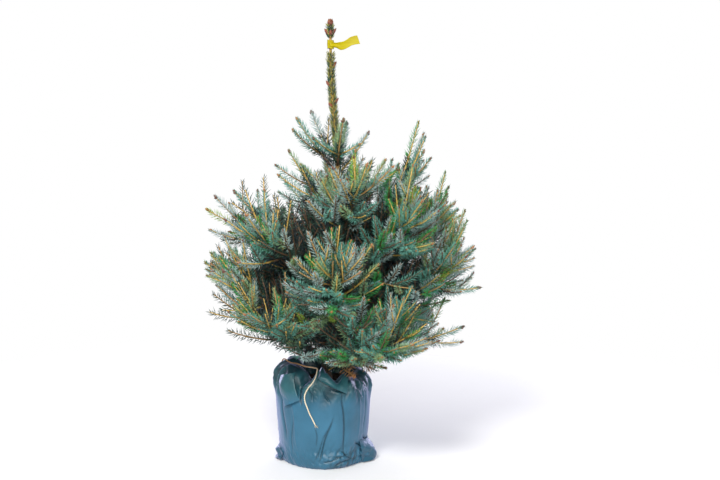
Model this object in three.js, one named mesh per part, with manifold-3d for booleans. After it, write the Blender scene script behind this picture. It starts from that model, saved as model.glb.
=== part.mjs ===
// A young blue spruce on its root ball, wrapped in a plastic film bag, in millimetres, +Z up.
// The origin is the middle of the bag's flat underside; -Y is the front and +X the right-hand side.
// The trunk stands on the root ball and runs whole to the tip of the leader. Boughs leave it in whorls, one
// for each year. Each bough ends where its mass of needle shoots begins, and each mass keeps to the space that
// is nearer to its own bough than to any other.
import * as THREE from "three";
import Module from "manifold-3d";

const wasm = await Module();
wasm.setup();

// ---- driving dimensions ---------------------------------------------------------------------------------

const GAP = 0.3; // clearance between neighbouring solids

// pot bag
const BAG_BASE_R = 105; // radius of the flat underside
const BAG_FOOT_R = 113; // radius just above the rounded foot
const BAG_TOP_R = 126; // radius at the shoulder
const BAG_RIM_R = 96; // the film is gathered in to this rim
const BAG_RIM_Z = 244; // mean height of the rim
const BAG_RIM_TILT = 15; // the rim stands this much higher at the back left
const BAG_RIM_TILT_TURN = 140;
const BAG_SHOULDER_DROP = 30; // from the rim down to the shoulder
const BAG_LIP = { x: 12, y: 5, radius: 68, drop: 10, round: 8 }; // edge of the film, turned in round the mouth
const BAG_FLOOR = 5; // film under the root ball
const BAG_SIDES = 48;
const BAG_FOOT_ROUND = 2.5;
const BAG_LEVELS = [0.024, 0.08, 0.17, 0.26, 0.33, 0.5, 0.7, 0.86, 1]; // as shares of the shoulder's height
const BAG_ROLL = { in: 0.42, up: 0.7 }; // the ring between shoulder and rim, as shares of the way
// Film that stands out: the two bottom corners of the flat bag, and a slack belly at the front. Turn, reach,
// half width in degrees, and the height it dies out at.
const BAG_BULGES = [
  { turn: -14, reach: 24, spread: 14, height: 62 },
  { turn: 187, reach: 9, spread: 12, height: 42 },
  { turn: -78, reach: 8, spread: 34, height: 50 },
];
const BULGE_FADE = 0.55; // a bulge starts to die out at this share of its height
const BULGE_UNDER = 0.8; // share of a bulge that the underside has
// Folds of film that stand up from the rim: turn, rise and half width in degrees.
const BAG_FLAPS = [
  { turn: -90, rise: 32, spread: 11 },
  { turn: -142, rise: 16, spread: 18 },
  { turn: 186, rise: 5, spread: 22 },
  { turn: -58, rise: 9, spread: 9 },
];
// Upright folds of the wall and pleats of the rim: depth, how many go round, and where they start in radians.
const WALL_FOLDS = [
  { depth: 1.5, count: 5, start: 0.6 },
  { depth: 1.1, count: 3, start: -1.1 },
];
const RIM_PLEATS = [
  { depth: 3.2, count: 13, start: 0 },
  { depth: 1.8, count: 8, start: 2 },
];
const PLEAT_WANDER = 1.3; // how far the pleats crowd together at two sides
const PLEAT_FOOT_Z = 130;
const FOLD_FOOT_Z = 40;
const RIM_PLEAT_SHARE = 1.2; // the pleats are deepest at the rim
const RIM_WAVES = [
  { depth: 2.4, count: 5, start: 0.7 },
  { depth: 1.4, count: 9, start: 2.1 },
];

// root ball
const BALL_BOTTOM_R = 104;
const BALL_TOP_R = 115;
const BALL_TOP_Z = 206;
const BALL_EDGE = 6; // rounding of its top edge
const BALL_CROWN_R = 34;
const BALL_CROWN_Z = 212; // the compost is a little heaped round the stem
const BALL_SIDES = 24;

// trunk and leader
const FOOT_Z = BALL_CROWN_Z + GAP;
const TOP_WHORL_Z = 765;
const TIP_Z = 1150;
const TRUNK_ROOT_X = 8;
const TRUNK_LEAN = 32; // sideways drift from the foot to the top whorl
const LEADER_RETURN = 18; // how far the leader bends back
const LEADER_BEND = 170; // over about this height
const TRUNK_SWAY = 5; // front-to-back waver
const SWAY_TURNS = 0.7; // waves of it up to the top whorl
const TRUNK_R_FOOT = 12.5;
const TRUNK_R_TOP = 6.2;
const LEADER_R_BASE = 5.2;
const LEADER_R_TIP = 2.8;
const FLARE_R = 6; // what the root flare adds at the foot
const FLARE_H = 16;
const FLARE_LOBES = { count: 5, depth: 0.35 };
const BUD = { length: 17, swell: 2.4, tip: 1.2 }; // the bud that ends the leader
const TRUNK_SIDES = 8;
const TRUNK_RINGS = [0, 6, 14, 28, 60, 110, 170, 240, 320, 400, 480]; // heights over the foot
const LEADER_RINGS = [-12, 2, 35, 85, 140, 195, 255, 315]; // heights over the top whorl
const BUD_RINGS = [1, 0.75, 0.45, 0.15, 0]; // shares of the bud's length below the tip

// needles on the leader
const SLEEVE_WALL = 1.1;
const SLEEVE_FIRST_Z = TOP_WHORL_Z + 34;
const SLEEVE_LAST_Z = TIP_Z - 22;
const SLEEVE_SIDES = 6;
const SLEEVE_RINGS = 15;
const SLEEVE_SHARE = 0.55; // share of a ring's height that bears needles
const SLEEVE_TWIST = 17; // degrees from ring to ring
const SLEEVE_NEEDLE = { out: 7.5, ahead: 17 };

// label ribbon round the leader
const RIBBON_Z = 1085; // middle of the band
const RIBBON_WIDTH = 23;
const RIBBON_THICK = 0.9;
const RIBBON_R = 7.6; // inside radius of the loop
const RIBBON_TAIL = 66;
const RIBBON_TURN = -12; // heading of the tail
const RIBBON_SAG = 4.5; // the tail first hangs by this
const RIBBON_SAG_SPAN = 0.7; // over this share of its length
const RIBBON_LIFT = 11; // and its end stands up by this
const RIBBON_BEND = 6; // front-to-back bend
const RIBBON_LEAN = 0.34; // radians that its top edge leans back at the end
const RIBBON_PINCH = 0.14; // share of its width lost in the middle, where it folds
const RIBBON_BOUND = 8; // the needles are bound flat this far beyond the band
const RIBBON_SIDES = 20;
const RIBBON_STEPS = 10;

// twine that closed the bag
const TWINE_R = 1.6;
const TWINE_SIDES = 8;
const TWINE_STEPS = 46;

// Each whorl: height on the trunk, the turn of every bough, its rise at the trunk and how much that grows
// towards the tip, its length and the length of it that is bare. Tilt and favour are how much steeper and how
// much longer, as a share, the boughs on the +X side are than the mean.
const WHORLS = [
  {
    name: "foot",
    z: 264,
    turns: [-64, -14],
    rise: 10,
    grow: -22,
    length: 165,
    bare: 0,
    tilt: 0,
    favour: 0,
  },
  {
    name: "low",
    z: 286,
    turns: [2, 62, 121, 178, 237, 301],
    rise: 9,
    grow: 18,
    length: 345,
    bare: 96,
    tilt: -8,
    favour: 0.04,
  },
  {
    name: "broad",
    z: 352,
    turns: [-8, 52, 112, 172, 216, 274],
    rise: 19,
    grow: 22,
    length: 415,
    bare: 112,
    tilt: 2,
    favour: 0.11,
  },
  {
    name: "middle",
    z: 430,
    turns: [14, 88, 163, 232, 322],
    rise: 29,
    grow: 20,
    length: 405,
    bare: 104,
    tilt: 1,
    favour: 0.02,
  },
  {
    name: "upper",
    z: 520,
    turns: [2, 98, 188, 282],
    rise: 35,
    grow: 20,
    length: 355,
    bare: 84,
    tilt: 4,
    favour: 0.15,
  },
  {
    name: "high",
    z: 640,
    turns: [24, 96, 163, 236, 312],
    rise: 37,
    grow: 22,
    length: 208,
    bare: 0,
    tilt: 0,
    favour: 0.02,
  },
  {
    name: "top",
    z: TOP_WHORL_Z,
    turns: [22, 76, 134, 176, 276],
    rise: 45,
    grow: 12,
    length: 148,
    bare: 0,
    tilt: 0,
    favour: -0.12,
  },
];
const TURN_JITTER = 6; // all jitters are full widths
const LENGTH_JITTER = 0.12;
const RISE_JITTER = 6;
const HEIGHT_STAGGER = 36; // the boughs of a whorl leave the trunk over this height
const STAGGER_MIDDLE = 0.4;
const SWAY = 0.16; // sideways bend of a bough as a share of its length
const BOUGH_R_PER_LENGTH = 0.0135;
const BOUGH_TAPER = 0.62; // loss of radius from the trunk to the tip
const BOUGH_COLLAR = 1.15; // swelling where a bough leaves the trunk
const BOUGH_SIDES = 5;
const BOUGH_STEPS = 3;

// Side shoots. Counted inwards from the tip, a bough has a ring of them behind its newest growth, to the sides
// and above, then one to the upper sides and below, and so on by turns. A roll is the place round the bough: 0
// and 180 to the sides, 90 above and 270 below.
const NEWEST_GROWTH = 108;
const SPUR_STEP = 60;
const SPUR_ROLLS = [
  [-14, 194, 90],
  [40, 140, 268],
];
const UNDER_ROLL = 200; // rolls past this are underneath
const UNDER_RISE = 15; // whorls that rise less than this have no shoots underneath
const SPUR_CLEAR = 16; // the innermost shoot stands this far beyond the bare bough
const SPUR_FIRST = 40; // and this far from the trunk
const FORK = 46; // degrees between a shoot and its bough
const FORK_JITTER = 12;
const ROLL_JITTER = 26;
const SHOOT_SHARE = 0.56; // length of a side shoot as a share of the length of bough beyond it
const SHOOT_LEAST = 46;
const SHOOT_JITTER = 0.3;
const SHOOT_LIFT = 0.2; // how far a shoot's tip turns up, as a share of its length
const ROOM_SHARES = [0.3, 0.45, 0.6, 0.75, 0.9, 1]; // where along its length a shoot is tested for room

// Needle teeth on the shoots of a mass, larger than life because they are fewer.
const TOOTH_PITCH = 38;
const TOOTH = { out: 27, ahead: 19 }; // at the base of a shoot
const TIP_TOOTH = { out: 10, ahead: 23 };
const TOOTH_TWIST = 0.5; // radians from ring to ring
const MAIN_STEM_R = 3.4;
const TWIG_R_BASE = 2.6;
const TWIG_R_TIP = 1.5;
const STEM_SIDES = 3;
const ROOT_LENGTH = 7; // the pointed root of a side shoot
const CLEAR_OF_FORK = 11; // no tooth stands on a stem nearer than this to another shoot
const SPACE_MARGIN = 2.4; // between a tooth and the edge of its mass's space
const LIMB_MARGIN = 4; // between a tooth and its own bough
const LEADER_MARGIN = 5; // between a tooth and the needles on the leader
const LEADER_FOOT = 10; // and it starts this far below them
const BAG_MARGIN = 6; // between a tooth and the film
const BAG_REACH = BAG_TOP_R + 14; // no film stands further out than this

// ---- small helpers --------------------------------------------------------------------------------------

const UP = new THREE.Vector3(0, 0, 1);
const { degToRad: rad, radToDeg: deg, lerp, clamp, smoothstep } = THREE.MathUtils;

// A repeatable stream of numbers from 0 to 1.
function seeded(seed) {
  const multiplier = 16807;
  const modulus = 2147483647;
  let state = seed;
  return () => {
    state = (state * multiplier) % modulus;
    return state / modulus;
  };
}

const evenly = (count, place) => Array.from({ length: count }, (_, i) => place(i));

// The level heading at a turn about +Z in degrees, and the point that far out from the Z axis.
const heading = (turn) => new THREE.Vector3(Math.cos(rad(turn)), Math.sin(rad(turn)), 0);
const outward = (turn, radius, z) => heading(turn).multiplyScalar(radius).setZ(z);

// A level circle of points about the Z axis.
const circle = (radius, z, sides = BALL_SIDES) => evenly(sides, (k) => outward((360 * k) / sides, radius, z));

// The turn of one heading from another, from -180 to 180 degrees, and a rounded hump round a heading.
const turnFrom = (turn, other) => ((((turn - other) % 360) + 540) % 360) - 180;
const hump = (turn, middle, spread) => Math.exp(-((turnFrom(turn, middle) / spread) ** 2));

// The sum of some waves at an angle in radians.
const waves = (parts, a) => parts.reduce((sum, p) => sum + p.depth * Math.sin(p.count * a + p.start), 0);

// A surface put together from points and faces.
class Surface {
  constructor() {
    this.points = [];
    this.faces = [];
  }

  point(p) {
    this.points.push(p.x, p.y, p.z);
    return this.points.length / 3 - 1;
  }

  ring(points) {
    return points.map((p) => this.point(p));
  }

  face(...corners) {
    for (let i = 1; i + 1 < corners.length; i++) this.faces.push(corners[0], corners[i], corners[i + 1]);
  }

  wall(lower, upper) {
    lower.forEach((_, k) => this.face(...quad(lower, upper, k)));
  }

  // A face drawn out to a point.
  spike(corners, apex) {
    corners.forEach((corner, k) => this.face(corner, corners[(k + 1) % corners.length], apex));
  }

  closeBelow(ring) {
    this.face(...[...ring].reverse());
  }

  closeAbove(ring) {
    this.face(...ring);
  }

  solid() {
    const vertProperties = Float32Array.from(this.points);
    const triVerts = Uint32Array.from(this.faces);
    return new wasm.Manifold(new wasm.Mesh({ numProp: 3, vertProperties, triVerts }));
  }
}

// The four corners of the face at place k between two rings.
function quad(lower, upper, k) {
  const next = (k + 1) % lower.length;
  return [lower[k], lower[next], upper[next], upper[k]];
}

// A closed solid through rings of points, counter-clockwise about the way that they go.
function loft(rings) {
  const s = new Surface();
  const indices = rings.map((ring) => s.ring(ring));
  for (let i = 0; i + 1 < indices.length; i++) s.wall(indices[i], indices[i + 1]);
  s.closeBelow(indices[0]);
  s.closeAbove(indices[indices.length - 1]);
  return s.solid();
}

// Rings of a round section along a path, in a frame that follows it.
function sections(count, sides, at, radius, twist = 0) {
  const centres = evenly(count, at);
  const side = UP.clone();
  return centres.map((centre, i) => {
    const before = centres[Math.max(i - 1, 0)];
    const after = centres[Math.min(i + 1, count - 1)];
    const way = after.clone().sub(before).normalize();
    const u = side.projectOnPlane(way).normalize().clone();
    const v = new THREE.Vector3().crossVectors(way, u);
    return evenly(sides, (k) => {
      const a = (2 * Math.PI * k) / sides + twist * i;
      return centre
        .clone()
        .addScaledVector(u, radius(i) * Math.cos(a))
        .addScaledVector(v, radius(i) * Math.sin(a));
    });
  });
}

// The biggest body of a solid: scraps that a cut leaves loose are dropped.
function whole(solid) {
  return solid.decompose().reduce((a, b) => (b.volume() > a.volume() ? b : a));
}

const group = new THREE.Group();

// Adds a solid to the group as a named mesh.
function add(name, solid, material) {
  const { numVert, numProp, vertProperties, triVerts } = solid.getMesh();
  const position = new Float32Array(numVert * 3);
  for (let i = 0; i < numVert; i++) {
    position.set(vertProperties.subarray(i * numProp, i * numProp + 3), i * 3);
  }
  const geometry = new THREE.BufferGeometry();
  geometry.setAttribute("position", new THREE.BufferAttribute(position, 3));
  geometry.setIndex(new THREE.BufferAttribute(triVerts, 1));
  geometry.computeVertexNormals();
  const mesh = new THREE.Mesh(geometry, material());
  mesh.name = name;
  group.add(mesh);
}

const surface = (color, roughness) => new THREE.MeshStandardMaterial({ color, roughness, metalness: 0 });
const bark = () => surface(0x5b4a3c, 0.9);
const needles = () => surface(0x4f6f69, 0.65);
const film = () => surface(0x3f6f80, 0.4);
const compost = () => surface(0x2b211a, 1);
const jute = () => surface(0xc9b487, 0.9);
const label = () => surface(0xe2cf12, 0.45);

// ---- pot bag and root ball ------------------------------------------------------------------------------

// How far the corners and the slack film stand out, at a turn and a height.
function bulge(turn, z) {
  return BAG_BULGES.reduce((sum, part) => {
    const fade = 1 - smoothstep(z, part.height * BULGE_FADE, part.height);
    return sum + part.reach * hump(turn, part.turn, part.spread) * fade;
  }, 0);
}

// Soft upright folds, which deepen into pleats towards the gathered rim.
function foldDepth(turn, z) {
  const a = rad(turn);
  const crowd = PLEAT_WANDER * Math.sin(2 * a);
  const [fine, broad] = RIM_PLEATS;
  const pleats = waves([{ ...fine, start: fine.start + crowd }, broad], a);
  const folds = waves(WALL_FOLDS, a);
  return folds * smoothstep(z, 0, FOLD_FOOT_Z) + pleats * smoothstep(z, PLEAT_FOOT_Z, BAG_RIM_Z);
}

const rimTilt = (turn) => BAG_RIM_TILT * Math.cos(rad(turn - BAG_RIM_TILT_TURN));
const shoulderHeight = (turn) => BAG_RIM_Z - BAG_SHOULDER_DROP + rimTilt(turn);

function rimHeight(turn) {
  const flaps = BAG_FLAPS.reduce((sum, flap) => sum + flap.rise * hump(turn, flap.turn, flap.spread), 0);
  return BAG_RIM_Z + rimTilt(turn) + waves(RIM_WAVES, rad(turn)) + flaps;
}

const rimRadius = (turn) => BAG_RIM_R + RIM_PLEAT_SHARE * foldDepth(turn, BAG_RIM_Z);

// Radius of the film's outside at a turn and a height up to the shoulder.
function bagRadius(turn, z) {
  const up = clamp(z / shoulderHeight(turn), 0, 1);
  const wall = lerp(BAG_FOOT_R, BAG_TOP_R, Math.sin((up * Math.PI) / 2));
  return wall + bulge(turn, z) + foldDepth(turn, z);
}

function bagWallPoint(turn, share) {
  const z = share * shoulderHeight(turn);
  const round = share === BAG_LEVELS[0] ? BAG_FOOT_ROUND : 0;
  return outward(turn, bagRadius(turn, z) - round, z);
}

function bagRollPoint(turn) {
  const shoulder = shoulderHeight(turn);
  const radius = lerp(bagRadius(turn, shoulder), rimRadius(turn), BAG_ROLL.in);
  return outward(turn, radius, lerp(shoulder, rimHeight(turn), BAG_ROLL.up));
}

// The root ball's rings, grown all round by some clearance.
function ballRings(grow) {
  return [
    circle(BALL_BOTTOM_R + grow, BAG_FLOOR + GAP - grow),
    circle(BALL_TOP_R + grow, BALL_TOP_Z - BALL_EDGE),
    circle(BALL_TOP_R - BALL_EDGE + grow, BALL_TOP_Z + grow),
    circle(BALL_CROWN_R + grow, BALL_CROWN_Z + grow),
  ];
}

// The film bag, as a closed shell that is thick enough to hold its folds, open down to the compost.
function bagSolid() {
  const around = (place) => evenly(BAG_SIDES, (k) => place((360 * k) / BAG_SIDES));
  const lip = new THREE.Vector3(BAG_LIP.x, BAG_LIP.y, 0);
  const lipRound = (turn) => outward(turn, BAG_LIP.radius + BAG_LIP.round, rimHeight(turn) - BAG_LIP.drop);
  const outside = loft([
    around((turn) => outward(turn, BAG_BASE_R + BULGE_UNDER * bulge(turn, 0), 0)),
    ...BAG_LEVELS.map((share) => around((turn) => bagWallPoint(turn, share))),
    around(bagRollPoint),
    around((turn) => outward(turn, rimRadius(turn), rimHeight(turn))),
    around((turn) => lipRound(turn).add(lip)),
    around((turn) => outward(turn, BAG_LIP.radius, BALL_TOP_Z + BALL_EDGE).add(lip)),
  ]);
  const wellAbove = 2 * BAG_RIM_Z;
  const mouth = loft([BALL_TOP_Z, wellAbove].map((z) => circle(BAG_LIP.radius - 1, z).map((p) => p.add(lip))));
  return whole(outside.subtract(loft(ballRings(GAP))).subtract(mouth));
}

// ---- trunk ----------------------------------------------------------------------------------------------

function trunkCentre(z) {
  const t = (z - FOOT_Z) / (TOP_WHORL_Z - FOOT_Z);
  const back = LEADER_RETURN * (1 - Math.exp(-((Math.max(0, z - TOP_WHORL_Z) / LEADER_BEND) ** 2)));
  const x = TRUNK_ROOT_X + TRUNK_LEAN * smoothstep(t, 0, 1) - back;
  return new THREE.Vector3(x, TRUNK_SWAY * Math.sin(2 * Math.PI * SWAY_TURNS * t), z);
}

const flare = (z) => FLARE_R * Math.exp(-(z - FOOT_Z) / FLARE_H);

function leaderRadius(z) {
  const wood = lerp(LEADER_R_BASE, LEADER_R_TIP, (z - TOP_WHORL_Z) / (TIP_Z - TOP_WHORL_Z));
  const upBud = Math.max(0, (z - TIP_Z) / BUD.length + 1);
  return lerp(wood, BUD.tip, upBud ** 3) + BUD.swell * Math.sin(Math.PI * upBud);
}

function trunkRadius(z) {
  if (z > TOP_WHORL_Z) return leaderRadius(z);
  return lerp(TRUNK_R_FOOT, TRUNK_R_TOP, (z - FOOT_Z) / (TOP_WHORL_Z - FOOT_Z)) + flare(z);
}

// The trunk with its flare, leader and bud. Grown by a clearance, it is the cutter for what stands on it.
function trunkSolid(grow = 0) {
  const heights = [
    ...TRUNK_RINGS.map((h) => FOOT_Z + h),
    ...LEADER_RINGS.map((h) => TOP_WHORL_Z + h),
    ...BUD_RINGS.map((share) => TIP_Z - BUD.length * share),
  ];
  const ring = (z) =>
    evenly(TRUNK_SIDES, (k) => {
      const turn = (360 * k) / TRUNK_SIDES;
      const lobe = FLARE_LOBES.depth * flare(z) * Math.cos(rad(FLARE_LOBES.count * turn));
      return outward(turn, trunkRadius(z) + lobe + grow, 0).add(trunkCentre(z));
    });
  return loft(heights.map(ring));
}

// ---- boughs ---------------------------------------------------------------------------------------------

// The side shoots of a bough, from the youngest ring inwards to where the bough is bare.
function planShoots(length, whorl, swing) {
  const shoots = [];
  const innermost = Math.max(whorl.bare + SPUR_CLEAR, SPUR_FIRST);
  let ring = 0;
  for (let at = length - NEWEST_GROWTH; at > innermost; at -= SPUR_STEP) {
    const rolls = SPUR_ROLLS[ring % 2].filter((roll) => whorl.rise > UNDER_RISE || roll < UNDER_ROLL);
    rolls.forEach((roll) => {
      shoots.push({
        at,
        fork: FORK + swing(FORK_JITTER),
        roll: roll + swing(ROLL_JITTER),
        length: SHOOT_LEAST + SHOOT_SHARE * (length - at) * (1 + swing(SHOOT_JITTER)),
      });
    });
    ring += 1;
  }
  return shoots;
}

// Bough n of whorl w: its place, way and length, and the side shoots it carries.
function planBough(whorl, w, n) {
  const draw = seeded(1009 * (w + 1) + 131 * (n + 1));
  const swing = (width) => (draw() - 0.5) * width;
  swing(1);
  const turn = whorl.turns[n] + swing(TURN_JITTER);
  const side = Math.cos(rad(turn));
  const length = whorl.length * (1 + whorl.favour * side + swing(LENGTH_JITTER));
  const step = ((n * 2) % whorl.turns.length) / whorl.turns.length;
  return {
    name: `${whorl.name}_${n + 1}`,
    bare: whorl.bare,
    grow: whorl.grow,
    turn,
    length,
    root: trunkCentre(whorl.z + HEIGHT_STAGGER * (step - STAGGER_MIDDLE)),
    rise: whorl.rise + whorl.tilt * side + swing(RISE_JITTER),
    sway: swing(SWAY),
    shoots: planShoots(length, whorl, swing),
  };
}

// The point at distance d along a bough's middle line: an arc in an upright plane that also sways to one side.
function onBough(b, d) {
  const s = d / b.length;
  const a = rad(b.rise);
  const c = rad(b.grow);
  const out = (b.length / c) * (Math.sin(a + c * s) - Math.sin(a));
  const up = (b.length / c) * (Math.cos(a) - Math.cos(a + c * s));
  const along = heading(b.turn);
  const aside = new THREE.Vector3(-along.y, along.x, 0);
  return b.root
    .clone()
    .addScaledVector(along, out)
    .addScaledVector(aside, b.sway * b.length * s * s)
    .addScaledVector(UP, up);
}

const boughWay = (b, d) => onBough(b, d + 1).sub(onBough(b, d - 1)).normalize();
const boughRadius = (b, d) => Math.max(TWIG_R_TIP, BOUGH_R_PER_LENGTH * (b.length - BOUGH_TAPER * d));

function boughSolid(b, cutter) {
  const at = (i) => onBough(b, (b.bare * i) / BOUGH_STEPS);
  const radius = (i) => boughRadius(b, (b.bare * i) / BOUGH_STEPS) * (i ? 1 : BOUGH_COLLAR);
  return whole(loft(sections(BOUGH_STEPS + 1, BOUGH_SIDES, at, radius)).subtract(cutter));
}

// ---- masses of needle shoots ----------------------------------------------------------------------------

// A shoot's middle line: it leaves the bough at its fork angle and turns up a little.
function shootPath(b, shoot) {
  const way = boughWay(b, shoot.at);
  const aside = new THREE.Vector3().crossVectors(way, UP).normalize();
  const above = new THREE.Vector3().crossVectors(aside, way);
  const out = aside
    .multiplyScalar(Math.cos(rad(shoot.roll)))
    .addScaledVector(above, Math.sin(rad(shoot.roll)));
  const line = way.multiplyScalar(Math.cos(rad(shoot.fork))).addScaledVector(out, Math.sin(rad(shoot.fork)));
  const start = onBough(b, shoot.at);
  const lift = SHOOT_LIFT / shoot.length;
  return (d) => start.clone().addScaledVector(line, d).addScaledVector(UP, lift * d * d);
}

// Distance from a point to a line of points.
function distanceTo(line, p) {
  const segment = new THREE.Line3();
  const near = new THREE.Vector3();
  let least = Infinity;
  for (let i = 0; i + 1 < line.length; i++) {
    segment.set(line[i], line[i + 1]).closestPointToPoint(p, true, near);
    least = Math.min(least, near.distanceTo(p));
  }
  return least;
}

const lineAlong = (path, start, end, steps) => evenly(steps + 1, (i) => path(lerp(start, end, i / steps)));

const boughs = WHORLS.flatMap((whorl, w) => whorl.turns.map((_, n) => planBough(whorl, w, n)));
const boughLines = boughs.map((b) => lineAlong((d) => onBough(b, d), 0, b.length, 12));
const limbLines = boughs.map((b) => lineAlong((d) => onBough(b, d), 0, b.bare, 4));

function clearOfTrunk(p, room) {
  const middle = trunkCentre(clamp(p.z, FOOT_Z, TIP_Z));
  const sleeve = p.z > SLEEVE_FIRST_Z - LEADER_FOOT ? SLEEVE_NEEDLE.out + LEADER_MARGIN : 0;
  return middle.distanceTo(p) > trunkRadius(middle.z) + sleeve + room;
}

function clearOfBag(p, room) {
  const rim = rimHeight(deg(Math.atan2(p.y, p.x)));
  return Math.hypot(p.x, p.y) > BAG_REACH || p.z > rim + BAG_MARGIN + room;
}

function clearOfLimb(n, p) {
  return !boughs[n].bare || distanceTo(limbLines[n], p) > boughRadius(boughs[n], 0) + LIMB_MARGIN;
}

// Whether a point, with room round it, is in the space of bough number n and clear of trunk, bag and limb.
function inSpace(n, p, room) {
  if (!clearOfTrunk(p, room) || !clearOfBag(p, room) || !clearOfLimb(n, p)) return false;
  const own = distanceTo(boughLines[n], p) + 2 * room;
  return boughLines.every((line, m) => m === n || distanceTo(line, p) > own);
}

// The point that a face of a shoot's stem is drawn out to, and places on the way to it that must be free.
function needleTooth(corners, from, to, age) {
  const way = to.clone().sub(from).normalize();
  const foot = corners.reduce((sum, p) => sum.add(p), new THREE.Vector3()).divideScalar(corners.length);
  const out = foot.clone().sub(from.clone().lerp(to, 0.5)).projectOnPlane(way).normalize();
  const tip = foot
    .clone()
    .addScaledVector(out, lerp(TOOTH.out, TIP_TOOTH.out, age))
    .addScaledVector(way, lerp(TOOTH.ahead, TIP_TOOTH.ahead, age));
  return { tip, places: [tip, foot.clone().lerp(tip, 0.5), foot.clone().addScaledVector(out, CLEAR_OF_FORK)] };
}

// One shoot: a stem whose faces are drawn out into needle teeth wherever there is room for them. A side shoot
// has a pointed root, which is sunk in the shoot that bears it.
function needleShoot({ path, start, end, stem, rooted }, room) {
  const steps = Math.max(2, Math.round((end - start) / TOOTH_PITCH));
  const at = (i) => path(lerp(start, end, i / steps));
  const centre = (i) => (rooted && i === 0 ? path(start + ROOT_LENGTH) : at(i));
  const radius = (i) => lerp(stem, TWIG_R_TIP, i / steps);
  const rings = sections(steps + 1, STEM_SIDES, centre, radius, TOOTH_TWIST);
  const s = new Surface();
  const indices = rings.map((ring) => s.ring(ring));
  if (rooted) s.spike([...indices[0]].reverse(), s.point(path(start)));
  else s.closeBelow(indices[0]);
  for (let i = 0; i < steps; i++) {
    for (let k = 0; k < STEM_SIDES; k++) {
      const corners = quad(rings[i], rings[i + 1], k);
      const face = quad(indices[i], indices[i + 1], k);
      const tooth = needleTooth(corners, at(i), at(i + 1), ((i + 1) / steps) ** 2);
      if (tooth.places.every(room)) s.spike(face, s.point(tooth.tip));
      else s.face(...face);
    }
  }
  s.spike(indices[steps], s.point(path(end + TWIG_R_TIP * 2)));
  return s.solid();
}

// How much of a shoot's length stays where it fits.
function lengthThatFits(path, length, fits) {
  const blocked = ROOM_SHARES.findIndex((share) => !fits(path(length * share)));
  return blocked < 0 ? length : length * (ROOM_SHARES[blocked - 1] ?? 0);
}

// The shoots of the mass that grows on from bough n: the bough's own tip, and the side shoots that have room.
function massShoots(n, fits) {
  const b = boughs[n];
  const start = b.bare ? b.bare + GAP : 0;
  const stem = Math.min(boughRadius(b, start), MAIN_STEM_R);
  const main = { path: (d) => onBough(b, d), start, end: b.length, stem, rooted: false };
  const side = b.shoots.map((shoot) => {
    const path = shootPath(b, shoot);
    return { path, start: 0, end: lengthThatFits(path, shoot.length, fits), stem: TWIG_R_BASE, rooted: true };
  });
  return [main, ...side.filter((shoot) => shoot.end > SHOOT_LEAST)];
}

// Each tooth keeps nearer to its own shoot than to the others of the mass.
function massSolid(n, cutter) {
  const fits = (p) => inSpace(n, p, SPACE_MARGIN);
  const shoots = massShoots(n, fits);
  const lines = shoots.map(({ path, start, end }) => lineAlong(path, start, end, 4));
  const solids = shoots.map((shoot, i) => {
    const ownSide = (p) => lines.every((line, j) => j === i || distanceTo(line, p) > distanceTo(lines[i], p));
    return needleShoot(shoot, (p) => fits(p) && ownSide(p));
  });
  const joined = wasm.Manifold.union(solids);
  return whole(boughs[n].bare ? joined : joined.subtract(cutter));
}

// ---- needles on the leader, label ribbon, twine ---------------------------------------------------------

// Where the needles are bound flat under the ribbon, and where they are too short of room to stand free.
const boundFlat = (z) => Math.abs(z - RIBBON_Z) < RIBBON_WIDTH / 2 + RIBBON_BOUND;
const underRibbon = (z) => z < RIBBON_Z && boundFlat(z + SLEEVE_NEEDLE.ahead);

function sleeveRing(z, i) {
  const wall = (trunkRadius(z) + GAP + SLEEVE_WALL) / Math.cos(Math.PI / SLEEVE_SIDES);
  const radius = boundFlat(z) ? RIBBON_R - 2 * GAP : wall;
  return evenly(SLEEVE_SIDES, (k) => {
    const turn = (360 * k) / SLEEVE_SIDES + SLEEVE_TWIST * Math.floor(i / 2);
    return outward(turn, radius, 0).add(trunkCentre(z));
  });
}

function sleeveNeedleTip([low, , high]) {
  const foot = low.clone().lerp(high, 0.5);
  const out = foot.clone().sub(trunkCentre(foot.z)).setZ(0).normalize();
  return foot.addScaledVector(out, SLEEVE_NEEDLE.out).addScaledVector(UP, SLEEVE_NEEDLE.ahead);
}

// A sleeve round the leader, clear of the wood, drawn out into needles that are pressed towards the tip.
function leaderNeedles(cutter) {
  const heights = evenly(SLEEVE_RINGS * 2, (i) => {
    const ring = Math.floor(i / 2) + (i % 2) * SLEEVE_SHARE;
    return lerp(SLEEVE_FIRST_Z, SLEEVE_LAST_Z, ring / SLEEVE_RINGS);
  });
  const rings = heights.map(sleeveRing);
  const s = new Surface();
  const indices = rings.map((ring) => s.ring(ring));
  for (let i = 0; i + 1 < rings.length; i++) {
    if (i % 2 || boundFlat(heights[i]) || underRibbon(heights[i])) {
      s.wall(indices[i], indices[i + 1]);
      continue;
    }
    for (let k = 0; k < SLEEVE_SIDES; k++) {
      const tip = sleeveNeedleTip(quad(rings[i], rings[i + 1], k));
      s.spike(quad(indices[i], indices[i + 1], k), s.point(tip));
    }
  }
  s.closeBelow(indices[0]);
  s.closeAbove(indices[indices.length - 1]);
  return whole(s.solid().subtract(cutter));
}

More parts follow.
